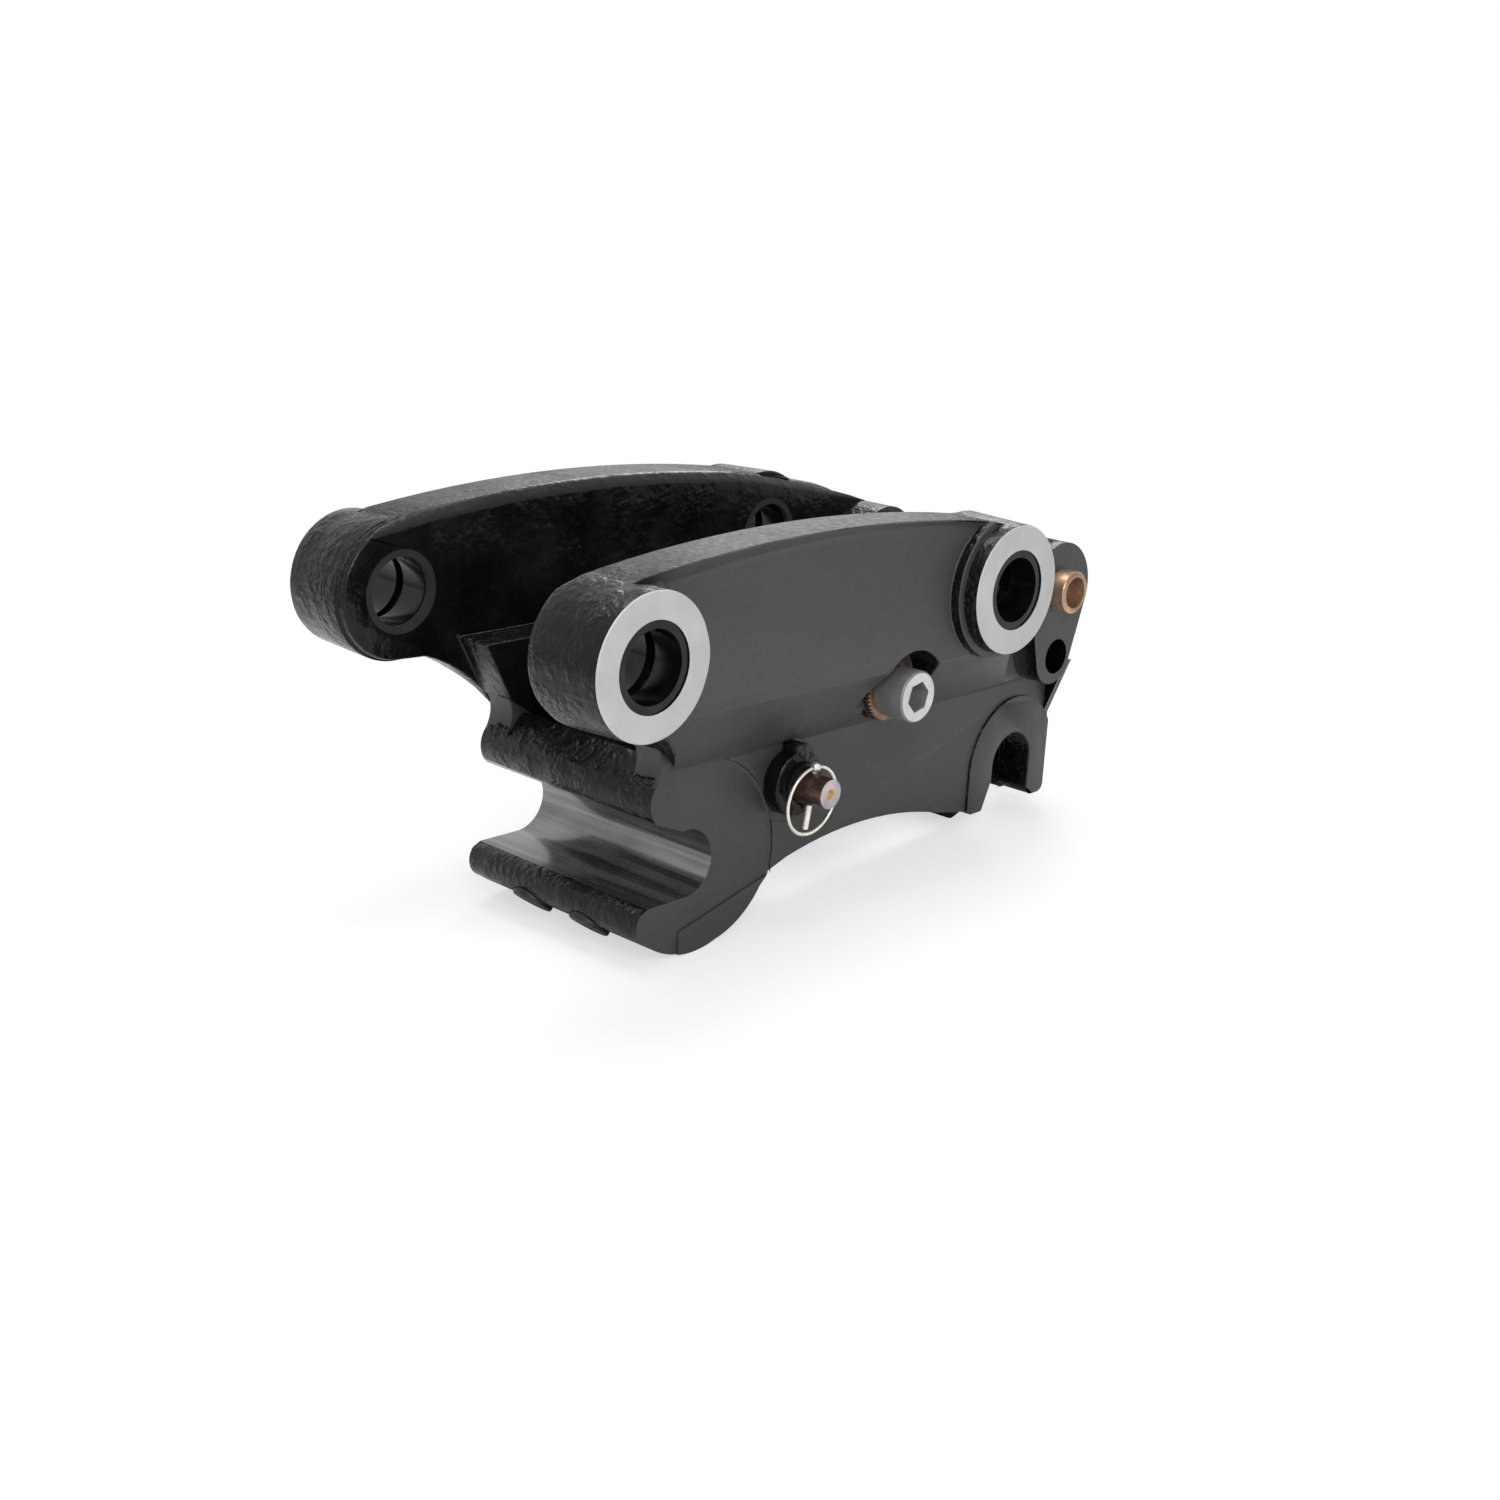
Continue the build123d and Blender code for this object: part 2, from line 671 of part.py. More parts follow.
# Linch pin with the eye for its ring
with BuildPart() as linch_pin:
    with BuildSketch(linch_plane.offset(-linch_below)):
        Circle(linch_r)
    extrude(amount=linch_below + linch_above)
    chamfer(linch_pin.faces().sort_by(Axis(linch_plane.origin, linch_dir))[0].edges(), 0.8)
    eye = linch_plane.origin + linch_dir * linch_above
    with Locations(eye):
        Sphere(linch_head_r)
    with BuildSketch(Plane(origin=eye, x_dir=across, z_dir=pin_line)):
        Circle(wire_hole_r)
    extrude(amount=linch_head_r + 2, both=True, mode=Mode.SUBTRACT)
finish(linch_pin, "linch_pin")

# Wire ring that hangs from the eye and snaps over the linch pin's lower end
ring_up = pin_up * cos(radians(ring_lean)) - across * sin(radians(ring_lean))
ring_centre = eye - ring_up * wire_ring_r
with BuildPart() as linch_ring:
    with BuildSketch(Plane(origin=ring_centre, x_dir=pin_line, z_dir=ring_up)):
        with Locations((wire_ring_r, 0)):
            Circle(wire_r)
    revolve(axis=Axis(origin=ring_centre, direction=ring_up.cross(pin_line)))
finish(linch_ring, "linch_ring")

# Latch pivot pin, hollow at both ends
pin_half = lug_half + pivot_end
with BuildPart() as latch_pivot_pin:
    extrude(round_face(-pin_half, lug_u, lug_v, pivot_r), amount=pin_half * 2)
    chamfer(latch_pivot_pin.faces().filter_by(Axis.Y).edges(), 1)
    for end in (-1, 1):
        extrude(
            round_face(end * pin_half, lug_u, lug_v, pivot_cup_r),
            amount=-end * pivot_cup_depth,
            mode=Mode.SUBTRACT,
        )
        with BuildSketch(dowel_plane(end)):
            Circle(dowel_r + seated)
        extrude(amount=beyond, mode=Mode.SUBTRACT)
finish(latch_pivot_pin, "latch_pivot_pin")

# Dowels that hold the pivot pin, driven in from the rear edges of the lugs
with BuildPart() as pivot_dowels:
    for end in (-1, 1):
        with BuildSketch(dowel_plane(end).offset(seated)):
            Circle(dowel_r)
        extrude(amount=lug_u + lug_r - dowel_start - 1)
    chamfer(pivot_dowels.edges().filter_by(GeomType.CIRCLE), 0.5)
finish(pivot_dowels, "pivot_dowels")

# Bearings and spacers of the latch
hub_half = wall_in_half - thrust_t - 2 * clear
latch_bush_r = pivot_r + running + latch_bush_wall
pin_ring("latch_bush", lug_u, lug_v, hub_half - latch_bush_length, hub_half, latch_bush_r, pivot_r + running)
thrust_low = hub_half + clear
pin_ring("thrust_ring", lug_u, lug_v, thrust_low, thrust_low + thrust_t, hub_r - 2, pivot_r + clear)

# Latch: a hook that hangs on the pivot pin and closes the rear slot from below
strut_angle = degrees(atan2(ball_v - screw_v, ball_u - screw_u))
ball_reach = hypot(ball_u - screw_u, ball_v - screw_v)
cup_top = on_circle(ball_u, ball_v, 20, strut_angle + 90)
cup_low = on_circle(ball_u, ball_v, 18, strut_angle - 90)
heel_back = on_circle(heel_u, heel_v, heel_r, 188)
heel_low = on_circle(heel_u, heel_v, heel_r, -78)
throat_low = on_circle(slot_u, slot_v, throat_r, -82)
throat_high = on_circle(slot_u, slot_v, throat_r, 62)
with BuildPart() as latch:
    with BuildSketch(side(-latch_half)):
        with BuildLine():
            ThreePointArc((lug_u + hub_r, lug_v), (lug_u, lug_v + hub_r), (lug_u - hub_r, lug_v))
            Line((lug_u - hub_r, lug_v), (424, -60))
            Line((424, -60), cup_top)
            Line(cup_top, cup_low)
            Line(cup_low, (388, -168))
            Line((388, -168), heel_back)
            ThreePointArc(heel_back, on_circle(heel_u, heel_v, heel_r, -130), heel_low)
            Line(heel_low, (456, -188.5))
            ThreePointArc((456, -188.5), (460, -185.5), (458.5, -181.8))
            Line((458.5, -181.8), throat_low)
            ThreePointArc(throat_low, (slot_u - throat_r, slot_v), throat_high)
            Line(throat_high, (472, -104))
            Line((472, -104), (478, -72))
            Line((478, -72), (lug_u + hub_r, lug_v))
        make_face()
    extrude(amount=latch_half * 2)
    # Narrower nose, clear of the ribs behind the slot
    for end in (-1, 1):
        with BuildSketch(side(end * latch_half)):
            with BuildLine():
                Polyline(
                    (nose_from_u, -beyond),
                    (nose_from_u, slot_v + 20),
                    (rib_front - 8, rib_top + 6),
                    (cheek_rear + 10, rib_top + 6),
                    (cheek_rear + 10, -beyond),
                    close=True,
                )
            make_face()
        extrude(amount=-end * (latch_half - nose_half), mode=Mode.SUBTRACT)
        # Hub faces for the thrust rings
        extrude(
            round_face(end * latch_half, lug_u, lug_v, hub_r + 1.5),
            amount=-end * (latch_half - hub_half),
            mode=Mode.SUBTRACT,
        )
    extrude(
        round_face(-latch_half, lug_u, lug_v, latch_bush_r + seated),
        amount=latch_half * 2,
        mode=Mode.SUBTRACT,
    )
    extrude(
        round_face(-latch_half, lock_hole_u, lock_hole_v, lock_hole_r),
        amount=latch_half * 2,
        mode=Mode.SUBTRACT,
    )
    # Cup for the ball end of the spring strut
    with Locations(place(ball_u, 0, ball_v)):
        Sphere(ball_r + cup_play, mode=Mode.SUBTRACT)
finish(latch, "latch")

# Yoke of the spring strut: it swivels on the anchor shaft and guides the rod
strut_dir = pin_line * cos(radians(strut_angle)) + pin_up * sin(radians(strut_angle))
strut_base = Plane(origin=place(screw_u, 0, screw_v), x_dir=across, z_dir=strut_dir)


def strut_bar(start, end, r, mode=Mode.ADD):
    """A round bar along the strut, between two distances from the anchor axis."""
    with BuildSketch(strut_base.offset(start)) as round_end:
        Circle(r)
    extrude(round_end.sketch, amount=end - start, mode=mode)


with BuildPart() as strut_yoke:
    extrude(round_face(-yoke_half, screw_u, screw_v, yoke_r), amount=yoke_half * 2)
    strut_bar(0, guide_end, guide_r)
    strut_bar(coil_seat - 5, coil_seat, coil_r + coil_wire_r + 1)
    strut_bar(guide_start, guide_end + 1, rod_r + running, Mode.SUBTRACT)
    extrude(
        round_face(-yoke_half, screw_u, screw_v, anchor_r + running),
        amount=yoke_half * 2,
        mode=Mode.SUBTRACT,
    )
finish(strut_yoke, "strut_yoke")

with BuildPart() as strut_rod:
    strut_bar(rod_start, ball_reach, rod_r)
    with Locations(place(ball_u, 0, ball_v)):
        Sphere(ball_r)
finish(strut_rod, "strut_rod")

coil_end = ball_reach - nut_back

# Seat collar and nut that set the spring's preload on the rod
nut_start = coil_end + nut_collar_t + clear
with BuildPart() as preload_nuts:
    strut_bar(coil_end, coil_end + nut_collar_t, nut_collar_r)
    with BuildSketch(strut_base.offset(nut_start)):
        RegularPolygon(nut_r, 6)
    extrude(amount=nut_t)
    strut_bar(coil_end, nut_start + nut_t, rod_r + seated, Mode.SUBTRACT)
finish(preload_nuts, "preload_nuts")

# Coil spring between the yoke's seat and the collar
coil_first = coil_seat + coil_wire_r + clear
coil_rise = coil_end - coil_seat - 2 * (coil_wire_r + clear)
coil_turns = int(coil_rise / coil_spacing)
with BuildPart() as latch_spring:
    with BuildLine() as coil_line:
        Helix(
            pitch=coil_rise / coil_turns,
            height=coil_rise,
            radius=coil_r,
            center=strut_base.origin + strut_dir * coil_first,
            direction=strut_dir,
        )
    with BuildSketch(Plane(origin=coil_line.line @ 0, z_dir=coil_line.line % 0)):
        Circle(coil_wire_r)
    sweep(is_frenet=True)
finish(latch_spring, "latch_spring")
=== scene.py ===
# %% [markdown]
# # A quick hitch for an excavator
# The hitch couples buckets and breakers to the end of a digger's arm. The solids come from CAD as a fixed
# frame: every Blender piece stands where its solid stands and moves with the same body.
# All lengths in Blender are metres, so a helper turns the drawing's millimetres into metres.

# %% Load the frame
import json
import math

import bmesh
import bpy
from mathutils import Matrix, Vector


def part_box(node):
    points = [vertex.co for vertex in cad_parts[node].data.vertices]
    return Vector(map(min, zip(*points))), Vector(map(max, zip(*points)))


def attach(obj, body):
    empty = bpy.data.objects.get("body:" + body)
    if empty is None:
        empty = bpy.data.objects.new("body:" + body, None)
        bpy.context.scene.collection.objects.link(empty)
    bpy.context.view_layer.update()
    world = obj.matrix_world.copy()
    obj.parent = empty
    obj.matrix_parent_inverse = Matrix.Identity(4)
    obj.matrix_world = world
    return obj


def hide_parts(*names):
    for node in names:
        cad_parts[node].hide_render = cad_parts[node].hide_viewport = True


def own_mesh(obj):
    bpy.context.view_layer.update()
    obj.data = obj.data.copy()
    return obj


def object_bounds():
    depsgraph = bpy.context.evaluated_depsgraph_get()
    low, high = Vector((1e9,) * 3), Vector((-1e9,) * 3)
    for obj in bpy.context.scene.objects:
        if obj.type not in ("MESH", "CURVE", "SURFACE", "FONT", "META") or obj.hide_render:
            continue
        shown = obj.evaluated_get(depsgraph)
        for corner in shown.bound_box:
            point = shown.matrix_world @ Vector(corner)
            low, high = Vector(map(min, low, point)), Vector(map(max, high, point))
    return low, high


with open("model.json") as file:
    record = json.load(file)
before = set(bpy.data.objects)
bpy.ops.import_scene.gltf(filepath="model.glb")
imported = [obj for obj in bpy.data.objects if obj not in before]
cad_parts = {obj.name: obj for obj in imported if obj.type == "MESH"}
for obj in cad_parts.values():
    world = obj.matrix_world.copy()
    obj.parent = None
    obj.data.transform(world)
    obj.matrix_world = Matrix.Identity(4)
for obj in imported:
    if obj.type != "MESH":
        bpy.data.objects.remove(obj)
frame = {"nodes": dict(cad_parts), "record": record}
cad_low, cad_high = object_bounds()
nodes = frame["nodes"]
record = frame["record"]
body_of_node = {n: b for b, names in record["behaviour"]["bodies"].items() for n in names}
slot_of_node = {s["node"]: s["material_slot"] for s in record["subparts"]}
print("CAD nodes:", len(nodes))


def mm(*values):
    """Millimetres to metres."""
    return values[0] / 1000 if len(values) == 1 else tuple(v / 1000 for v in values)


# %% [markdown]
# The hitch stands on its jaw and its latch, so the line through its two upper pins falls to the rear.
# Places on it are easiest to name along that line (u), across (y) and square above it (v), so small
# functions turn such a place into the frame's X, Y and Z, and back.

# %% The pin line's own directions
link_bore = next(m for m in record["mounts"] if m["name"] == "link_bore")
pin_line = Vector(link_bore["pos_m"]).normalized()
pin_up = Vector((-pin_line.z, 0, pin_line.x))
across = Vector((0, 1, 0))


def place(u, y, v):
    """A point from millimetres along, across and above the pin line."""
    return (pin_line * u + across * y + pin_up * v) / 1000


def heading(u, y, v):
    """A direction given the same way."""
    return (pin_line * u + across * y + pin_up * v).normalized()


def along(point_mm):
    """A frame point in millimetres as u along the pin line and v above it."""
    return point_mm.dot(pin_line), point_mm.dot(pin_up)


stand_tilt = math.degrees(math.asin(-pin_line.z))
print(f"the pin line falls by {stand_tilt:.2f} degrees")

# %% [markdown]
# The camera stands to the left of the hitch's front end and looks a little down on it. It could be placed
# by eye, but its place, its three directions and its focal length were found from the photograph's
# vanishing lines and the pin spacing instead, so that the render can be laid over the picture.

# %% Camera
image_width_px = 1500
focal_px = 2031
film_width_mm = 36
camera_spot = place(-779.5, -933.5, 295.3)
camera_right = heading(0.68499, -0.72694, 0.04850)
camera_up = heading(0.18249, 0.23565, 0.95455)
camera_back = heading(-0.70533, -0.64501, 0.29408)

camera_data = bpy.data.cameras.new("camera")
camera_data.sensor_width = film_width_mm
camera_data.lens = focal_px / image_width_px * film_width_mm
camera = bpy.data.objects.new("camera", camera_data)
camera_turn = Matrix((camera_right, camera_up, camera_back)).transposed().to_4x4()
camera.matrix_world = Matrix.Translation(camera_spot) @ camera_turn
bpy.context.scene.collection.objects.link(camera)
bpy.context.scene.camera = camera
bpy.context.scene.view_settings.view_transform = "Standard"
print("camera", [round(x, 3) for x in camera.location], f"lens {camera_data.lens:.1f} mm")

# %% [markdown]
# Materials are small networks of nodes. One function sets or links a node's inputs, one adds a node with
# them, and one turns a hex colour, as a paint chart gives it, into the linear light values that the shader
# works in. Patterns read Object coordinates, so they stay on the piece when the camera or a joint moves.


# %% Helpers for materials
def linear(hex_colour):
    """An sRGB hex colour as linear red, green, blue and alpha."""
    channels = [int(hex_colour[i:i + 2], 16) / 255 for i in (1, 3, 5)]
    return [c / 12.92 if c <= 0.04045 else ((c + 0.055) / 1.055) ** 2.4 for c in channels] + [1.0]


def give(tree, node, inputs):
    """Sets or links a node's inputs by name or index.

    A value is a number, a colour, an output socket, or a whole node, which stands for its first output."""
    for name, value in inputs.items():
        if isinstance(value, bpy.types.Node):
            value = value.outputs[0]
        if isinstance(value, bpy.types.NodeSocket):
            tree.links.new(value, node.inputs[name])
        else:
            node.inputs[name].default_value = value


def add(tree, kind, inputs=None, **settings):
    """Adds a node with its settings and its inputs."""
    made = tree.nodes.new(kind)
    for name, value in settings.items():
        setattr(made, name, value)
    give(tree, made, inputs or {})
    return made


def new_material(name):
    """An empty material with its shader and object coordinates ready."""
    material = bpy.data.materials.new(name)
    material.use_nodes = True
    tree = material.node_tree
    tree.nodes.clear()
    shader = add(tree, "ShaderNodeBsdfPrincipled")
    add(tree, "ShaderNodeOutputMaterial", {"Surface": shader})
    where = add(tree, "ShaderNodeTexCoord").outputs["Object"]
    return material, tree, shader, where


# %% [markdown]
# ## Painted cast steel
# The cheeks are steel castings under one coat of black paint, but the coat doesn't look the same all over.
# On the outer faces it is drawn as an even satin charcoal, a lighter copy of the black that is painted light
# for the light falling on them. Inside, underneath and round the bosses the paint is thick, black and glossy
# over a coarse sand skin. The tops of the flanges are pale grey, partly dust and partly painted light from
# above. One recipe makes them all, because only its colours, its shine and the depth of its grain differ.
#
# Noise textures make the blotches and the sand, because they need no picture and fit every face. A noise
# stays near 0.5, so a Map Range node spreads that narrow band over the whole range. A Mix node's colours
# are its inputs 6 and 7 and its output 2.

# %% Paint on sand-cast steel
blotch_mm, patch_mm, wave_mm = 55, 30, 20
least_grain = 0.25
front_fade_m, rear_fade_m = (0.01, 0.085), (0.325, 0.25)


def paint(name, dark, light, smooth, rough, grain_mm, relief_mm, specular, wave=0.5, ends=None):
    """Paint over cast skin: blotches of colour, patches of coarse grain and soft waves.

    ends gives a colour that takes over towards the two bosses."""
    material, tree, shader, where = new_material(name)
    blotches = add(tree, "ShaderNodeTexNoise", {
        "Vector": where, "Scale": 1000 / blotch_mm, "Detail": 4, "Roughness": 0.55})
    patches = add(tree, "ShaderNodeTexNoise", {
        "Vector": where, "Scale": 1000 / patch_mm, "Detail": 3, "Roughness": 0.55})
    sand = add(tree, "ShaderNodeTexNoise", {
        "Vector": where, "Scale": 1000 / grain_mm, "Detail": 2, "Roughness": 0.5})
    waves = add(tree, "ShaderNodeTexNoise", {
        "Vector": where, "Scale": 1000 / wave_mm, "Detail": 2, "Roughness": 0.55})

    tint = add(tree, "ShaderNodeMapRange", {"Value": blotches, "From Min": 0.35, "From Max": 0.65})
    colour = add(tree, "ShaderNodeMix", {0: tint, 6: linear(dark), 7: linear(light)},
                 data_type="RGBA").outputs[2]
    if ends:
        x = add(tree, "ShaderNodeSeparateXYZ", {0: where}).outputs["X"]
        front, rear = [add(tree, "ShaderNodeMapRange", {"Value": x, "From Min": start, "From Max": full})
                       for start, full in (front_fade_m, rear_fade_m)]
        kept = add(tree, "ShaderNodeMath", {0: front, 1: rear}, operation="MULTIPLY")
        colour = add(tree, "ShaderNodeMix", {0: kept, 6: linear(ends), 7: colour},
                     data_type="RGBA").outputs[2]

    both = add(tree, "ShaderNodeMath", {0: blotches, 1: sand})
    mean = add(tree, "ShaderNodeMath", {0: both, 1: 0.5}, operation="MULTIPLY")
    gloss = add(tree, "ShaderNodeMapRange", {
        "Value": mean, "From Min": 0.38, "From Max": 0.62, "To Min": smooth, "To Max": rough})

    share = add(tree, "ShaderNodeMapRange", {
        "Value": patches, "From Min": 0.42, "From Max": 0.58, "To Min": least_grain, "To Max": 1.0})
    grain = add(tree, "ShaderNodeMath", {0: sand, 1: share}, operation="MULTIPLY")
    swell = add(tree, "ShaderNodeMath", {0: waves, 1: wave}, operation="MULTIPLY")
    height = add(tree, "ShaderNodeMath", {0: grain, 1: swell})
    relief = add(tree, "ShaderNodeBump", {"Height": height, "Distance": mm(relief_mm)})
    give(tree, shader, {"Base Color": colour, "Roughness": gloss, "Specular IOR Level": specular,
                        "Normal": relief})
    return material


# %% [markdown]
# Four coats come from this recipe. Each is named for how its paint went on or how it has worn.

# %% The four coats
# Painted light: an even dark grey, a lighter copy of the black paint for the outward faces, with a satin
# sheen and hardly any grain.
charcoal = paint("charcoal_painted_light_over_black_paint", "#323233", "#383838", 0.4, 0.52, 2.4, 0.35, 0.35)
# Run on thick over the moulding sand: deep black with many small bright glints.
black = paint("thick_black_paint_on_sand_cast_skin", "#050505", "#0a0a0a", 0.2, 0.36, 4.6, 1.9, 0.24, 0.2)
# Sprayed on a smoother skin inside: black with long soft reflections.
glossy = paint("smooth_black_paint_inside", "#070707", "#101010", 0.2, 0.34, 6.0, 0.8, 0.25)
# Dust and painted light from above on the flange tops: dull grey between the bosses, darker towards them.
dust_and_top_light = paint("dust_and_painted_top_light_on_flange", "#2b2b2b", "#5c5c5c", 0.45, 0.7, 4.2, 2.0, 0.3,
              ends="#121212")
print(charcoal.name, black.name, glossy.name, dust_and_top_light.name)

# %% [markdown]
# ## Bare machined steel
# Boss faces and the jaw are turned or milled after painting, so they are bright steel with fine tool marks.
# Real marks are about a tenth of a millimetre apart, too fine to show, so they are drawn about a millimetre
# apart. On a turned face they show as an even grain.

# %% Turned steel
tool_mark_mm, cloud_mm = 0.9, 25
faced, tree, shader, where = new_material("turned_steel_face")
cloud = add(tree, "ShaderNodeTexNoise", {
    "Vector": where, "Scale": 1000 / cloud_mm, "Detail": 3, "Roughness": 0.55})
fine = add(tree, "ShaderNodeTexNoise", {
    "Vector": where, "Scale": 1000 / tool_mark_mm, "Detail": 2, "Roughness": 0.7})
tint = add(tree, "ShaderNodeMapRange", {"Value": cloud, "From Min": 0.3, "From Max": 0.7})
colour = add(tree, "ShaderNodeMix", {0: tint, 6: linear("#a8a8a8"), 7: linear("#b4b4b4")},
             data_type="RGBA").outputs[2]
gloss = add(tree, "ShaderNodeMapRange", {
    "Value": fine, "From Min": 0.3, "From Max": 0.7, "To Min": 0.5, "To Max": 0.62})
relief = add(tree, "ShaderNodeBump", {"Height": fine, "Distance": mm(0.05)})
give(tree, shader, {"Base Color": colour, "Metallic": 0.35, "Roughness": gloss, "Normal": relief})
print(faced.name)

# %% [markdown]
# In the jaw the marks run straight across, as the cutter went. Rings or waves would look too even, so a
# noise is stretched along Y before it is read, and a stain that isn't stretched clouds it.

# %% Milled steel
mark_mm, band_mm, stain_mm = 1.0, 4, 45
mark_stretch = 0.02
milled, tree, shader, where = new_material("milled_steel_jaw")
stretched = add(tree, "ShaderNodeMapping", {"Vector": where, "Scale": (1.0, mark_stretch, 1.0)})
marks = add(tree, "ShaderNodeTexNoise", {
    "Vector": stretched, "Scale": 1000 / mark_mm, "Detail": 2, "Roughness": 0.5})
bands = add(tree, "ShaderNodeTexNoise", {
    "Vector": stretched, "Scale": 1000 / band_mm, "Detail": 3, "Roughness": 0.6})
stain = add(tree, "ShaderNodeTexNoise", {
    "Vector": where, "Scale": 1000 / stain_mm, "Detail": 3, "Roughness": 0.5})
band_part = add(tree, "ShaderNodeMath", {0: bands, 1: 0.65}, operation="MULTIPLY")
stain_part = add(tree, "ShaderNodeMath", {0: stain, 1: 0.35}, operation="MULTIPLY")
mottle = add(tree, "ShaderNodeMath", {0: band_part, 1: stain_part})
tint = add(tree, "ShaderNodeMapRange", {"Value": mottle, "From Min": 0.36, "From Max": 0.62})
colour = add(tree, "ShaderNodeMix", {0: tint, 6: linear("#5b5b5b"), 7: linear("#848484")},
             data_type="RGBA").outputs[2]
gloss = add(tree, "ShaderNodeMapRange", {
    "Value": marks, "From Min": 0.3, "From Max": 0.7, "To Min": 0.13, "To Max": 0.28})
relief = add(tree, "ShaderNodeBump", {"Height": marks, "Distance": mm(0.025)})
give(tree, shader, {"Base Color": colour, "Metallic": 0.9, "Roughness": gloss, "Normal": relief})
print(milled.name)

# %% [markdown]
# ## The small steel pieces
# Screws, pins, bushes and wire differ in colour, shine and grain only, so one recipe takes those as numbers.
# Rubber and bronze follow it too.

# %% A recipe for small steel pieces
tarnish_mm = 14


def steel(name, dark, light, metallic, smooth, rough, grain_mm=1.2, relief_mm=0.04):
    """A steel finish between two colours and two roughnesses."""
    material, tree, shader, where = new_material(name)
    tarnish = add(tree, "ShaderNodeTexNoise", {
        "Vector": where, "Scale": 1000 / tarnish_mm, "Detail": 4, "Roughness": 0.55})
    grain = add(tree, "ShaderNodeTexNoise", {
        "Vector": where, "Scale": 1000 / grain_mm, "Detail": 3, "Roughness": 0.7})
    tint = add(tree, "ShaderNodeMapRange", {"Value": tarnish, "From Min": 0.35, "From Max": 0.65})
    colour = add(tree, "ShaderNodeMix", {0: tint, 6: linear(dark), 7: linear(light)},
                 data_type="RGBA").outputs[2]
    gloss = add(tree, "ShaderNodeMapRange", {
        "Value": grain, "From Min": 0.3, "From Max": 0.7, "To Min": smooth, "To Max": rough})
    relief = add(tree, "ShaderNodeBump", {"Height": grain, "Distance": mm(relief_mm)})
    give(tree, shader, {"Base Color": colour, "Metallic": metallic, "Roughness": gloss, "Normal": relief})
    return material


# %% [markdown]
# The table says which finish each of the record's material slots gets, and what it gives the eye. The jaw
# beam's slot isn't in it, because the beam gets several finishes further down.

# %% Finishes by slot
finishes = {
    "painted_casting": black,
    # Quenched after turning: a dark, dull sheen.
    "wear_steel": steel("hardened_wear_steel", "#1c1c1d", "#2a2a2b", 0.5, 0.35, 0.55),
    # Hot steel dipped in oil: brown with a warm highlight.
    "dark_steel": steel("oiled_brown_steel", "#3b2f27", "#5e4c40", 0.7, 0.24, 0.4),
    # A flake coat on screws: flat mid grey.
    "black_steel": steel("grey_coated_screw_steel", "#6c6c6c", "#787878", 0.3, 0.42, 0.58),
    # Thin plating over ribs: brown, worn brighter in patches.
    "plated_washer": steel("brown_plated_washer_steel", "#35281f", "#7d6450", 0.8, 0.3, 0.5, 2.5),
    # Bright zinc on drawn wire: nearly white, with sharp highlights.
    "zinc_wire": steel("bright_zinc_plated_wire", "#d2ccbc", "#ebe7dc", 0.8, 0.2, 0.34),
    # Zinc under a coloured passivate: a soft copper tone.
    "yellow_zinc": steel("copper_coloured_zinc", "#8c6f5a", "#b7977d", 0.7, 0.24, 0.4),
    # Turned bar: clean mid-grey metal.
    "bright_steel": steel("turned_bright_steel", "#5f5f5f", "#7c7c7c", 0.95, 0.3, 0.45),
    # Wound wire, heat treated and oiled: blue-black.
    "spring_steel": steel("black_oiled_spring_steel", "#1b1b1c", "#2a2a2b", 0.6, 0.35, 0.5),
    # Ground after hardening and smooth enough to mirror the room; its near-black colour is painted shade for
    # the inside of the bores.
    "bush_steel": steel("ground_bush_steel_darkened_as_painted_shade", "#0d0d0e", "#1e1e1f", 0.6, 0.08, 0.16),
    # Moulded rubber: matt black.
    "seal_rubber": steel("nitrile_rubber", "#141414", "#1d1d1d", 0.0, 0.5, 0.7, 0.8, 0.05),
    # Cast and turned bearing metal: golden brown.
    "bronze": steel("bearing_bronze", "#8a6534", "#a67d45", 0.95, 0.3, 0.45),
}
# Drawn dowels that were driven in: dull grey ends.
dowel_steel = steel("dull_dowel_steel", "#3a3a3a", "#565656", 0.7, 0.35, 0.5)
# The pin's end, tinted where it was heated: pale with a mauve cast.
heated = steel("heat_tinted_pin_end", "#9b9194", "#bbb0b3", 0.45, 0.32, 0.48)
# The screw's head, ground flat: pale and even.
ground_face = steel("ground_screw_end", "#b6b6b6", "#c6c6c6", 0.3, 0.4, 0.55)
# A turned plug: light gold.
brass = steel("brass_plug", "#cdb583", "#e8d5a8", 0.6, 0.32, 0.45)
print(len(finishes), "finishes")

# %% [markdown]
# ## Rounded edges
# Nothing that is cast or turned has a knife edge. Subdivision would round edges too, but it would also pull
# flat and turned faces out of shape, so the Bevel modifier rounds them. A bevel that is wider than the face
# beside it tears the skin, and Blender's own clamp shrinks all the edges of a piece alike.
#
# So on the cheeks each sharp edge gets its own share of the rounding, as the shortest smooth edge at its ends
# and the narrower face beside it allow. A few turns of smoothing then keep neighbours nearly alike, so the
# rounding doesn't end in a step. The rims of the bores and the small lug at the rear stay sharp.

# %% Room for a rounding
sharp_deg = 32
edge_share, face_share = 0.4, 0.8
no_edge_m = 10.0  # longer than any edge, for a place that has no smooth edge
smoothing_turns = 9
growth, step = 1.1, 0.09  # how far a neighbour's share may exceed an edge's own
pin_pitch_mm = 345
bore_clear_mm = 32
lug_from_u_mm, lug_low_mm, lug_high_mm = 418, -130, 20


def is_crowded(u, v):
    """Whether a place is at a bore's rim or at the small lug."""
    at_lug = u > lug_from_u_mm and lug_low_mm < v < lug_high_mm
    return at_lug or min(math.hypot(u, v), math.hypot(u - pin_pitch_mm, v)) < bore_clear_mm


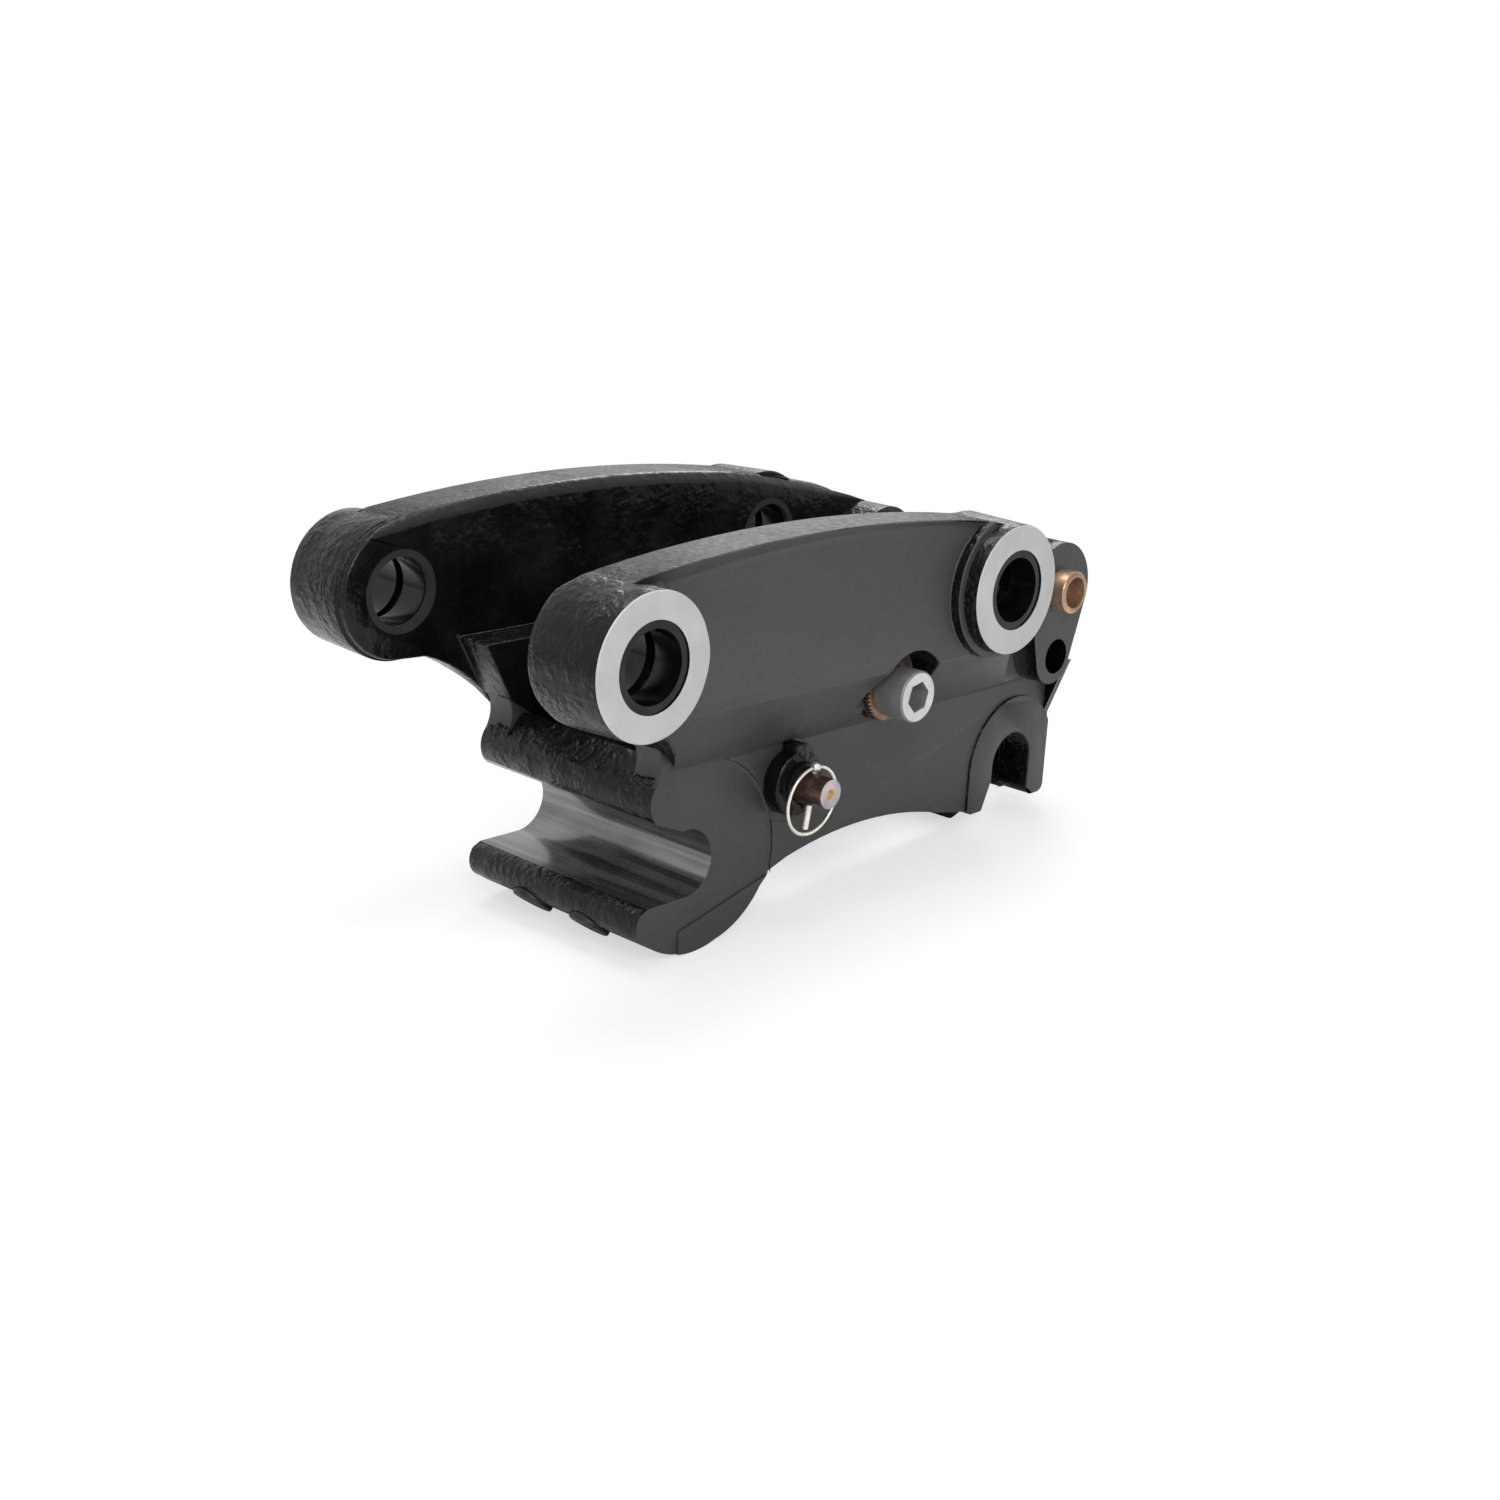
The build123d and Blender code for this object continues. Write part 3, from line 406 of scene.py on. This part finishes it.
def weigh_edges(work, edge_mm):
    """Gives each sharp edge the share of the rounding that the faces beside it have room for."""
    weight = work.edges.layers.float.new("bevel_weight_edge")
    sharp = {e for e in work.edges
             if len(e.link_faces) == 2 and e.calc_face_angle(0) > math.radians(sharp_deg)}
    room = {}
    for edge in sharp:
        beside = [n.calc_length() for v in edge.verts for n in v.link_edges if n not in sharp]
        widths = [2 * f.calc_area() / f.calc_perimeter() for f in edge.link_faces]
        room[edge] = min(1.0, edge_share * min(beside, default=no_edge_m) / mm(edge_mm),
                         face_share * min(widths) / mm(edge_mm))
    for _ in range(smoothing_turns):
        room = {edge: min([own] + [room[n] * growth + step
                                   for v in edge.verts for n in v.link_edges if n in room])
                for edge, own in room.items()}
    for edge, value in room.items():
        middle_mm = sum((vert.co for vert in edge.verts), Vector()) / 2 * 1000
        edge[weight] = 0.0 if is_crowded(*along(middle_mm)) else value


# %% [markdown]
# A copy of each CAD solid is merged into one skin, its flat faces are joined, and its edges are rounded. The
# copy then stands for the solid, and the solid stays for collision. A piece with several finishes gets them
# as a list of looks and a function that picks one of them for each face.

# %% Dress a CAD solid
merge_mm = 0.01
flat_deg = 0.6


def dressed(node, edge_mm, looks, pick=None, segments=2, weighed=False):
    """A copy of a node with rounded edges. pick gives a face's finish from its centre and its normal."""
    mesh = nodes[node].data.copy()
    mesh.materials.clear()
    for material in looks:
        mesh.materials.append(material)
    work = bmesh.new()
    work.from_mesh(mesh)
    bmesh.ops.remove_doubles(work, verts=work.verts, dist=mm(merge_mm))
    for face in work.faces:
        face.smooth = True
        face.material_index = looks.index(pick(face.calc_center_median() * 1000, face.normal)) if pick else 0
    bmesh.ops.dissolve_limit(work, angle_limit=math.radians(flat_deg), verts=work.verts, edges=work.edges,
                             delimit={"MATERIAL"})
    if weighed:
        weigh_edges(work, edge_mm)
    work.to_mesh(mesh)
    work.free()
    piece = bpy.data.objects.new(node + "_skin", mesh)
    bpy.context.scene.collection.objects.link(piece)
    bevel = piece.modifiers.new("edges", "BEVEL")
    bevel.width = mm(edge_mm)
    bevel.segments = segments
    bevel.limit_method = "WEIGHT" if weighed else "ANGLE"
    bevel.angle_limit = math.radians(sharp_deg)
    bevel.use_clamp_overlap = not weighed
    bevel.miter_outer = "MITER_SHARP" if weighed else "MITER_ARC"
    result = bpy.data.meshes.new_from_object(piece.evaluated_get(bpy.context.evaluated_depsgraph_get()))
    piece.modifiers.clear()
    piece.data = result
    result.name = node + "_skin"
    result.set_sharp_from_angle(angle=math.radians(sharp_deg))
    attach(piece, body_of_node[node])
    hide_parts(node)
    print(piece.name, len(result.polygons), "faces")


# %% [markdown]
# ## The two cheeks
# Each cheek is one casting, painted all over and then turned bare on its boss faces. Each finish could be a
# piece of its own, but then joints would show between them. Picking the faces by where they are and which
# way they look keeps the casting whole.

# %% Cheeks
cheek_edge_mm = 2.4
boss_face_mm = 144.8
crown_radius_mm = 1215.0
crown_u_mm, crown_v_mm = 163.0, 58.3 - crown_radius_mm
crown_end_mm, crown_near_mm = 335, 1.5


def cheek_finish(centre, normal):
    """Bare steel on the boss faces, dust and painted top light on the flange, charcoal painted light outside,
    glossy inside, else black.
    """
    u, v = along(centre)
    outward = normal.y if centre.y > 0 else -normal.y
    from_crown = math.hypot(u - crown_u_mm, v - crown_v_mm) - crown_radius_mm
    if abs(centre.y) > boss_face_mm and outward > 0.9:
        return faced
    if abs(from_crown) < crown_near_mm and 0 < u < crown_end_mm:
        # the flange top: pale dust and painted light from above
        return dust_and_top_light
    if outward < -0.7:
        return glossy
    # outward faces get the charcoal copy of the black paint: painted light
    return charcoal if outward > 0.3 else black


for side_name in ("left", "right"):
    dressed(side_name + "_cheek", cheek_edge_mm, [charcoal, faced, black, dust_and_top_light, glossy], cheek_finish,
            segments=3, weighed=True)

# %% [markdown]
# ## The jaw beam
# The front cross member. The jaw itself is milled bright, the lips around it keep the cast skin and paint.
# The milled faces are found as the round seat, the floor before it and the roof above it.

# %% Jaw beam
beam_edge_mm = 2.6
jaw_half_mm = 82.5
seat_u_mm, seat_v_mm, seat_radius_mm = 96, -158.6, 23
seat_near_mm = 0.8
floor_v_mm = -181.6
roof_u_mm, roof_low_mm, roof_high_mm = 60, -140, -124


def jaw_finish(centre, normal):
    """Milled steel inside the jaw, charcoal painted light on the ends and black on the lips."""
    u, v = along(centre)
    on_seat = abs(math.hypot(u - seat_u_mm, v - seat_v_mm) - seat_radius_mm) < seat_near_mm
    on_floor = abs(v - floor_v_mm) < 0.5 and u < seat_u_mm + 1
    in_roof = roof_u_mm < u < seat_u_mm and roof_low_mm < v < roof_high_mm
    on_roof = in_roof and normal.dot(pin_up) < -0.6
    if (on_seat or on_floor or on_roof) and abs(normal.y) < 0.5:
        return milled
    on_end = abs(normal.y) > 0.5 or abs(centre.y) > jaw_half_mm - 0.1
    # the beam's end faces get the charcoal copy of the black paint: painted light
    return charcoal if on_end else black


dressed("jaw_beam", beam_edge_mm, [black, milled, charcoal], jaw_finish, segments=3)

# %% [markdown]
# ## Locking pin and cap screws
# Both are turned pieces whose ends were treated after their sides, so they too pick a finish by face.

# %% Locking pin and cap screws
oiled, coated = finishes["dark_steel"], finishes["black_steel"]
pin_u_mm, pin_v_mm, pin_end_mm = 187, -120, 118.0
plug_radius_mm = 3.6
screw_end_mm = 120
pin_edge_mm, screw_edge_mm = 0.4, 0.9


def pin_finish(centre, normal):
    """The locking pin's conical end has a heat-tinted face round a brass plug."""
    u, v = along(centre)
    if centre.y > -pin_end_mm:
        return oiled
    if math.hypot(u - pin_u_mm, v - pin_v_mm) < plug_radius_mm:
        return brass
    return heated if abs(normal.y) > 0.8 else oiled


def screw_finish(centre, normal):
    """The head's end is ground bright, its side keeps the grey coat."""
    return ground_face if abs(normal.y) > 0.8 and abs(centre.y) > screw_end_mm else coated


dressed("locking_pin", pin_edge_mm, [oiled, heated, brass], pin_finish)
dressed("cap_screws", screw_edge_mm, [coated, ground_face], screw_finish, segments=3)

# %% [markdown]
# ## Other pieces
# Each of the other pieces has one finish. Those whose edges show are dressed with the rounding that such a
# piece has, in millimetres. The rest, such as bushes, seals and wire, have the right shape already, so the
# CAD solid itself gets the finish.

# %% Other pieces
edge_of_node = {
    "jaw_welds": 1.5, "cross_web": 1.5, "lip_buttons": 0.6, "anchor_shaft": 0.5, "lock_washers": 0.3,
    "left_pin_collar": 0.6, "right_pin_collar": 0.6, "latch_pivot_pin": 0.5, "latch": 2.0,
    "strut_yoke": 1.0, "strut_rod": 0.5, "preload_nuts": 0.5,
}
# the welds' front faces take the charcoal painted light of the end faces round them
own_finish = {"pivot_dowels": dowel_steel, "jaw_welds": charcoal}
already_dressed = ("left_cheek", "right_cheek", "jaw_beam", "locking_pin", "cap_screws")

for name in nodes:
    if name in already_dressed:
        continue
    finish = own_finish.get(name, finishes[slot_of_node[name]])
    nodes[name].data.materials.clear()
    nodes[name].data.materials.append(finish)
    if name in edge_of_node:
        dressed(name, edge_of_node[name], [finish])

# %% [markdown]
# ## Shapes that follow a rule
# A spring, the serrations of a washer and the ripples of a weld are each one small shape repeated along a
# path. Geometry Nodes say that rule once and keep its sizes as named inputs, which a modifier sets. Modelling
# each rib by hand, or an Array modifier, would work too, but neither could also bend or scatter the copies.
# The result is turned into a plain mesh, because the exported model holds no live modifiers.


# %% Helpers for Geometry Nodes
def shape_tree(name, sizes):
    """A Geometry Nodes tree with a named input for each size."""
    tree = bpy.data.node_groups.new(name, "GeometryNodeTree")
    for label, kind in sizes.items():
        tree.interface.new_socket(label, in_out="INPUT", socket_type="NodeSocket" + kind)
    tree.interface.new_socket("Geometry", in_out="OUTPUT", socket_type="NodeSocketGeometry")
    return tree, add(tree, "NodeGroupInput").outputs


def close_tree(tree, geometry, material):
    """Makes copies real, gives them their finish and ends the tree."""
    real = add(tree, "GeometryNodeRealizeInstances", {"Geometry": geometry})
    smooth = add(tree, "GeometryNodeSetShadeSmooth", {"Geometry": real})
    done = add(tree, "GeometryNodeSetMaterial", {"Geometry": smooth, "Material": material})
    add(tree, "NodeGroupOutput", {"Geometry": done})


def shaped(tree, name, values, places):
    """A plain mesh object from a tree, copied to each place."""
    carrier = bpy.data.objects.new(name + "_maker", bpy.data.meshes.new(name + "_empty"))
    bpy.context.scene.collection.objects.link(carrier)
    modifier = carrier.modifiers.new("shape", "NODES")
    modifier.node_group = tree
    for item in tree.interface.items_tree:
        if item.in_out == "INPUT":
            modifier[item.identifier] = values[item.name]
    made = bpy.data.meshes.new_from_object(carrier.evaluated_get(bpy.context.evaluated_depsgraph_get()))
    carrier.modifiers.remove(modifier)
    bpy.data.objects.remove(carrier)
    whole = bmesh.new()
    for matrix in places:
        copy = made.copy()
        copy.transform(matrix)
        whole.from_mesh(copy)
    mesh = bpy.data.meshes.new(name)
    whole.to_mesh(mesh)
    whole.free()
    for material in made.materials:
        mesh.materials.append(material)
    piece = bpy.data.objects.new(name, mesh)
    bpy.context.scene.collection.objects.link(piece)
    print(name, len(mesh.polygons), "faces")
    return piece


def facing(origin, direction):
    """The matrix that turns a shape made along Z to a direction and moves it to a place."""
    turn = Vector((0, 0, 1)).rotation_difference(direction).to_matrix().to_4x4()
    return Matrix.Translation(origin) @ turn


# %% [markdown]
# ## Latch spring
# The spring that keeps the latch shut is cold-wound wire. A spiral curve gives its line and a small circle
# swept along it gives the wire. When the latch opens, the rod pushes the spring together.

# %% Latch spring
spring_tree, size = shape_tree("wound_spring", {
    "Turns": "Float", "Coil radius": "Float", "Wire radius": "Float", "Length": "Float"})
line = add(spring_tree, "GeometryNodeCurveSpiral", {
    "Resolution": 48, "Rotations": size["Turns"], "Start Radius": size["Coil radius"],
    "End Radius": size["Coil radius"], "Height": size["Length"]})
wire = add(spring_tree, "GeometryNodeCurvePrimitiveCircle", {
    "Resolution": 16, "Radius": size["Wire radius"]})
coil = add(spring_tree, "GeometryNodeCurveToMesh", {
    "Curve": line, "Profile Curve": wire, "Fill Caps": True})
close_tree(spring_tree, coil, finishes["spring_steel"])

anchor_u_mm, anchor_v_mm = 265.0, -66.0
ball_u_mm, ball_v_mm = 392.0, -132.6
yoke_seat_mm, rod_seat_mm = 40.0, 112.0
wire_mm, coil_mm, coil_turns = 3.0, 17.0, 6.0
seat_gap_mm = 0.3
strut_line = heading(ball_u_mm - anchor_u_mm, 0, ball_v_mm - anchor_v_mm)
strut_start = place(anchor_u_mm, 0, anchor_v_mm)
first_turn = strut_start + strut_line * mm(yoke_seat_mm + wire_mm + seat_gap_mm)
spring = shaped(spring_tree, "wound_latch_spring", {
    "Turns": coil_turns, "Coil radius": mm(coil_mm), "Wire radius": mm(wire_mm),
    "Length": mm(rod_seat_mm - yoke_seat_mm - 2 * wire_mm - 2 * seat_gap_mm)},
    [facing(first_turn, strut_line)])
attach(spring, body_of_node["latch_spring"])
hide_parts("latch_spring")
slide = next(j for j in record["behaviour"]["joints"] if j["name"] == "rod_slide")
travel_mm = max(abs(x) for x in slide["range_m"]) * 1000
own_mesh(spring)
print(f"spring travel {travel_mm:.1f} mm")

# %% [markdown]
# ## Serrations of the lock washers
# Wedge lock washers carry radial teeth that show as fine ribs on their rims. The ribs stand on the points
# of a circle and each one turns to face outwards.

# %% Washer ribs
rib_tree, size = shape_tree("ring_of_ribs", {"Count": "Int", "Radius": "Float", "Rib": "Vector"})
points = add(rib_tree, "GeometryNodeMeshCircle", {"Vertices": size["Count"], "Radius": size["Radius"]})
rib = add(rib_tree, "GeometryNodeMeshCube", {"Size": size["Rib"]})
spot = add(rib_tree, "GeometryNodeInputPosition")
facing_out = add(rib_tree, "FunctionNodeAlignRotationToVector", {"Vector": spot}, axis="X")
ring = add(rib_tree, "GeometryNodeInstanceOnPoints", {
    "Points": points, "Instance": rib, "Rotation": facing_out})
close_tree(rib_tree, ring, finishes["plated_washer"])

rib_count, rib_mm, rib_sink_mm = 44, (1.6, 1.5, 5.6), 0.35
washer_seat_mm, washer_half_mm = 98.5, 3.3
washer_low, washer_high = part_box("lock_washers")
washer_radius_mm = (washer_high.x - washer_low.x) / 2 * 1000
rims = [facing(place(anchor_u_mm, end * (washer_seat_mm + washer_half_mm), anchor_v_mm), across)
        for end in (-1, 1)]
ribs = shaped(rib_tree, "washer_ribs", {
    "Count": rib_count, "Radius": mm(washer_radius_mm - rib_sink_mm), "Rib": mm(*rib_mm)}, rims)
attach(ribs, body_of_node["lock_washers"])

# %% [markdown]
# ## Weld ripples
# The notch between the beam's upper lip and each cheek is filled with several short runs of weld. A run is
# a row of overlapping drops. No two drops are alike, so random moves and sizes with a fixed seed disturb
# the rows.

# %% Weld ripples
bead_tree, size = shape_tree("weld_runs", {
    "Rows": "Int", "Row step": "Vector", "Drops": "Int", "Drop step": "Vector", "Drop radius": "Float",
    "Most move": "Vector", "Least move": "Vector", "Seed": "Int"})
rows = add(bead_tree, "GeometryNodeMeshLine", {"Count": size["Rows"], "Offset": size["Row step"]},
           mode="OFFSET")
row = add(bead_tree, "GeometryNodeMeshLine", {"Count": size["Drops"], "Offset": size["Drop step"]},
          mode="OFFSET")
grid = add(bead_tree, "GeometryNodeInstanceOnPoints", {"Points": rows, "Instance": row})
spots = add(bead_tree, "GeometryNodeRealizeInstances", {"Geometry": grid})
move = add(bead_tree, "FunctionNodeRandomValue", {
    "Min": size["Least move"], "Max": size["Most move"], "Seed": size["Seed"]}, data_type="FLOAT_VECTOR")
moved = add(bead_tree, "GeometryNodeSetPosition", {"Geometry": spots, "Offset": move})
drop = add(bead_tree, "GeometryNodeMeshIcoSphere", {"Radius": size["Drop radius"], "Subdivisions": 3})
uneven = add(bead_tree, "FunctionNodeRandomValue", {
    "Min": (0.6, 0.5, 0.6), "Max": (1.2, 1.3, 1.2), "Seed": size["Seed"]}, data_type="FLOAT_VECTOR")
runs = add(bead_tree, "GeometryNodeInstanceOnPoints", {"Points": moved, "Instance": drop, "Scale": uneven})
close_tree(bead_tree, runs, glossy)

row_count, drop_count = 4, 7
drop_step_mm, drop_radius_mm = 2.6, 3.0
most_move_mm, least_move_mm = (1.1, 1.6, 1.1), (-1.1, -1.6, -1.1)
first_drop_mm = 61.5
first_run, last_run = place(68.6, 0, -99.5), place(65.6, 0, -108.5)
for side_name, sign in (("left", -1), ("right", 1)):
    bead = shaped(bead_tree, side_name + "_weld_ripples", {
        "Rows": row_count, "Row step": (last_run - first_run) / (row_count - 1),
        "Drops": drop_count, "Drop step": (0, sign * mm(drop_step_mm), 0), "Drop radius": mm(drop_radius_mm),
        "Most move": mm(*most_move_mm), "Least move": mm(*least_move_mm),
        "Seed": 7 + sign}, [Matrix.Translation(first_run + across * mm(sign * first_drop_mm))])
    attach(bead, body_of_node["jaw_welds"])

# %% [markdown]
# ## Dressed seams
# A weld joins each end of the beam to its cheek along an arc and is ground almost flush, so the joint hardly
# shows under the paint. A wire swept along the arc fills the groove that the rounded edges leave.

# %% Dressed seams
seam_tree, size = shape_tree("dressed_seam", {
    "Arc radius": "Float", "Start": "Float", "Sweep": "Float", "Bead radius": "Float"})
arc = add(seam_tree, "GeometryNodeCurveArc", {
    "Resolution": 64, "Radius": size["Arc radius"], "Start Angle": size["Start"],
    "Sweep Angle": size["Sweep"]})
round_bead = add(seam_tree, "GeometryNodeCurvePrimitiveCircle", {
    "Resolution": 20, "Radius": size["Bead radius"]})
seam = add(seam_tree, "GeometryNodeCurveToMesh", {
    "Curve": arc, "Profile Curve": round_bead, "Fill Caps": True})
# the bead takes the charcoal painted light of the end faces round it
close_tree(seam_tree, seam, charcoal)

arc_u_mm, arc_v_mm, arc_radius_mm = 102.7, -162.7, 72.9
arc_start_deg, arc_sweep_deg = -17.3, 116.3
bead_radius_mm, bead_sink_mm = 3.0, 2.3
arc_plane = Matrix((pin_line, pin_up, -across)).transposed().to_4x4()
for side_name, sign in (("left", -1), ("right", 1)):
    arc_centre = place(arc_u_mm, sign * (jaw_half_mm - bead_sink_mm), arc_v_mm)
    filled = shaped(seam_tree, side_name + "_dressed_seam", {
        "Arc radius": mm(arc_radius_mm), "Start": math.radians(arc_start_deg),
        "Sweep": math.radians(arc_sweep_deg), "Bead radius": mm(bead_radius_mm)},
        [Matrix.Translation(arc_centre) @ arc_plane])
    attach(filled, body_of_node["jaw_welds"])

# %% [markdown]
# ## Floor
# A pale studio floor. To the camera it glows white, so no more light than the hitch needs has to fall on it.
# Near the hitch the glow is mixed with plain matt paint, which keeps a part of the shadow.

# %% Floor
reach_m, floor_gap_mm = 12.0, 0.3
glow_from_m, glow_to_m = 0.25, 1.1
glow_near, glow_far = 0.62, 1.0
low = cad_low.z - mm(floor_gap_mm)
under_hitch = (0.25, 0.0, low)
corners = [(x * reach_m, y * reach_m, low) for x, y in ((-1, -1), (1, -1), (1, 1), (-1, 1))]
floor_mesh = bpy.data.meshes.new("floor")
floor_mesh.from_pydata(corners, [], [(0, 1, 2, 3)])
floor = bpy.data.objects.new("floor", floor_mesh)
bpy.context.scene.collection.objects.link(floor)
floor_paint = bpy.data.materials.new("white_studio_floor")
floor_paint.use_nodes = True
tree = floor_paint.node_tree
tree.nodes.clear()
ray = add(tree, "ShaderNodeLightPath")
where = add(tree, "ShaderNodeTexCoord").outputs["Object"]
from_hitch = add(tree, "ShaderNodeVectorMath", {0: where, 1: under_hitch},
                 operation="DISTANCE").outputs["Value"]
share = add(tree, "ShaderNodeMapRange", {
    "Value": from_hitch, "From Min": glow_from_m, "From Max": glow_to_m,
    "To Min": glow_near, "To Max": glow_far})
matt = add(tree, "ShaderNodeBsdfDiffuse", {"Color": (0.9, 0.9, 0.9, 1)})
glow = add(tree, "ShaderNodeEmission", {"Color": (1, 1, 1, 1), "Strength": 1.0})
seen = add(tree, "ShaderNodeMath", {0: ray.outputs["Is Camera Ray"], 1: share}, operation="MULTIPLY")
blend = add(tree, "ShaderNodeMixShader", {0: seen, 1: matt, 2: glow})
add(tree, "ShaderNodeOutputMaterial", {"Surface": blend})
floor_mesh.materials.append(floor_paint)
print(f"floor at {low:.4f} m")

# %% [markdown]
# ## Light
# The room is white to the camera and in reflections, so bare metal shows it. As a light it is only half as
# strong, so it doesn't wash out the black paint. Three soft boxes light the hitch from the camera's side,
# from above and from the rear.

# %% World and lamps
room_light = 0.5
world = bpy.data.worlds.new("white_room")
bpy.context.scene.world = world
world.use_nodes = True
tree = world.node_tree
tree.nodes.clear()
ray = add(tree, "ShaderNodeLightPath").outputs
direct = add(tree, "ShaderNodeMath", {0: ray["Is Camera Ray"], 1: ray["Is Glossy Ray"]}, operation="MAXIMUM")
level = add(tree, "ShaderNodeMapRange", {"Value": direct, "To Min": room_light, "To Max": 1.0})
sky = add(tree, "ShaderNodeBackground", {"Color": (1, 1, 1, 1), "Strength": level})
add(tree, "ShaderNodeOutputWorld", {"Surface": sky})


def lamp(name, spot, aim, size_m, watts):
    """A square soft box that points at a place on the hitch."""
    data = bpy.data.lights.new(name, "AREA")
    data.size = size_m
    data.energy = watts
    made = bpy.data.objects.new(name, data)
    made.location = spot
    made.rotation_euler = (Vector(aim) - Vector(spot)).to_track_quat("-Z", "Y").to_euler()
    bpy.context.scene.collection.objects.link(made)
    print(name, watts, "W")


lamp("key_softbox", (-0.9, -1.6, 1.2), (0.2, 0, -0.1), size_m=1.0, watts=26)
lamp("top_softbox", (0.3, 0.1, 1.9), (0.2, 0, -0.1), size_m=1.2, watts=30)
lamp("rear_softbox", (1.6, 0.9, 1.0), (0.25, 0, -0.1), size_m=0.8, watts=10)
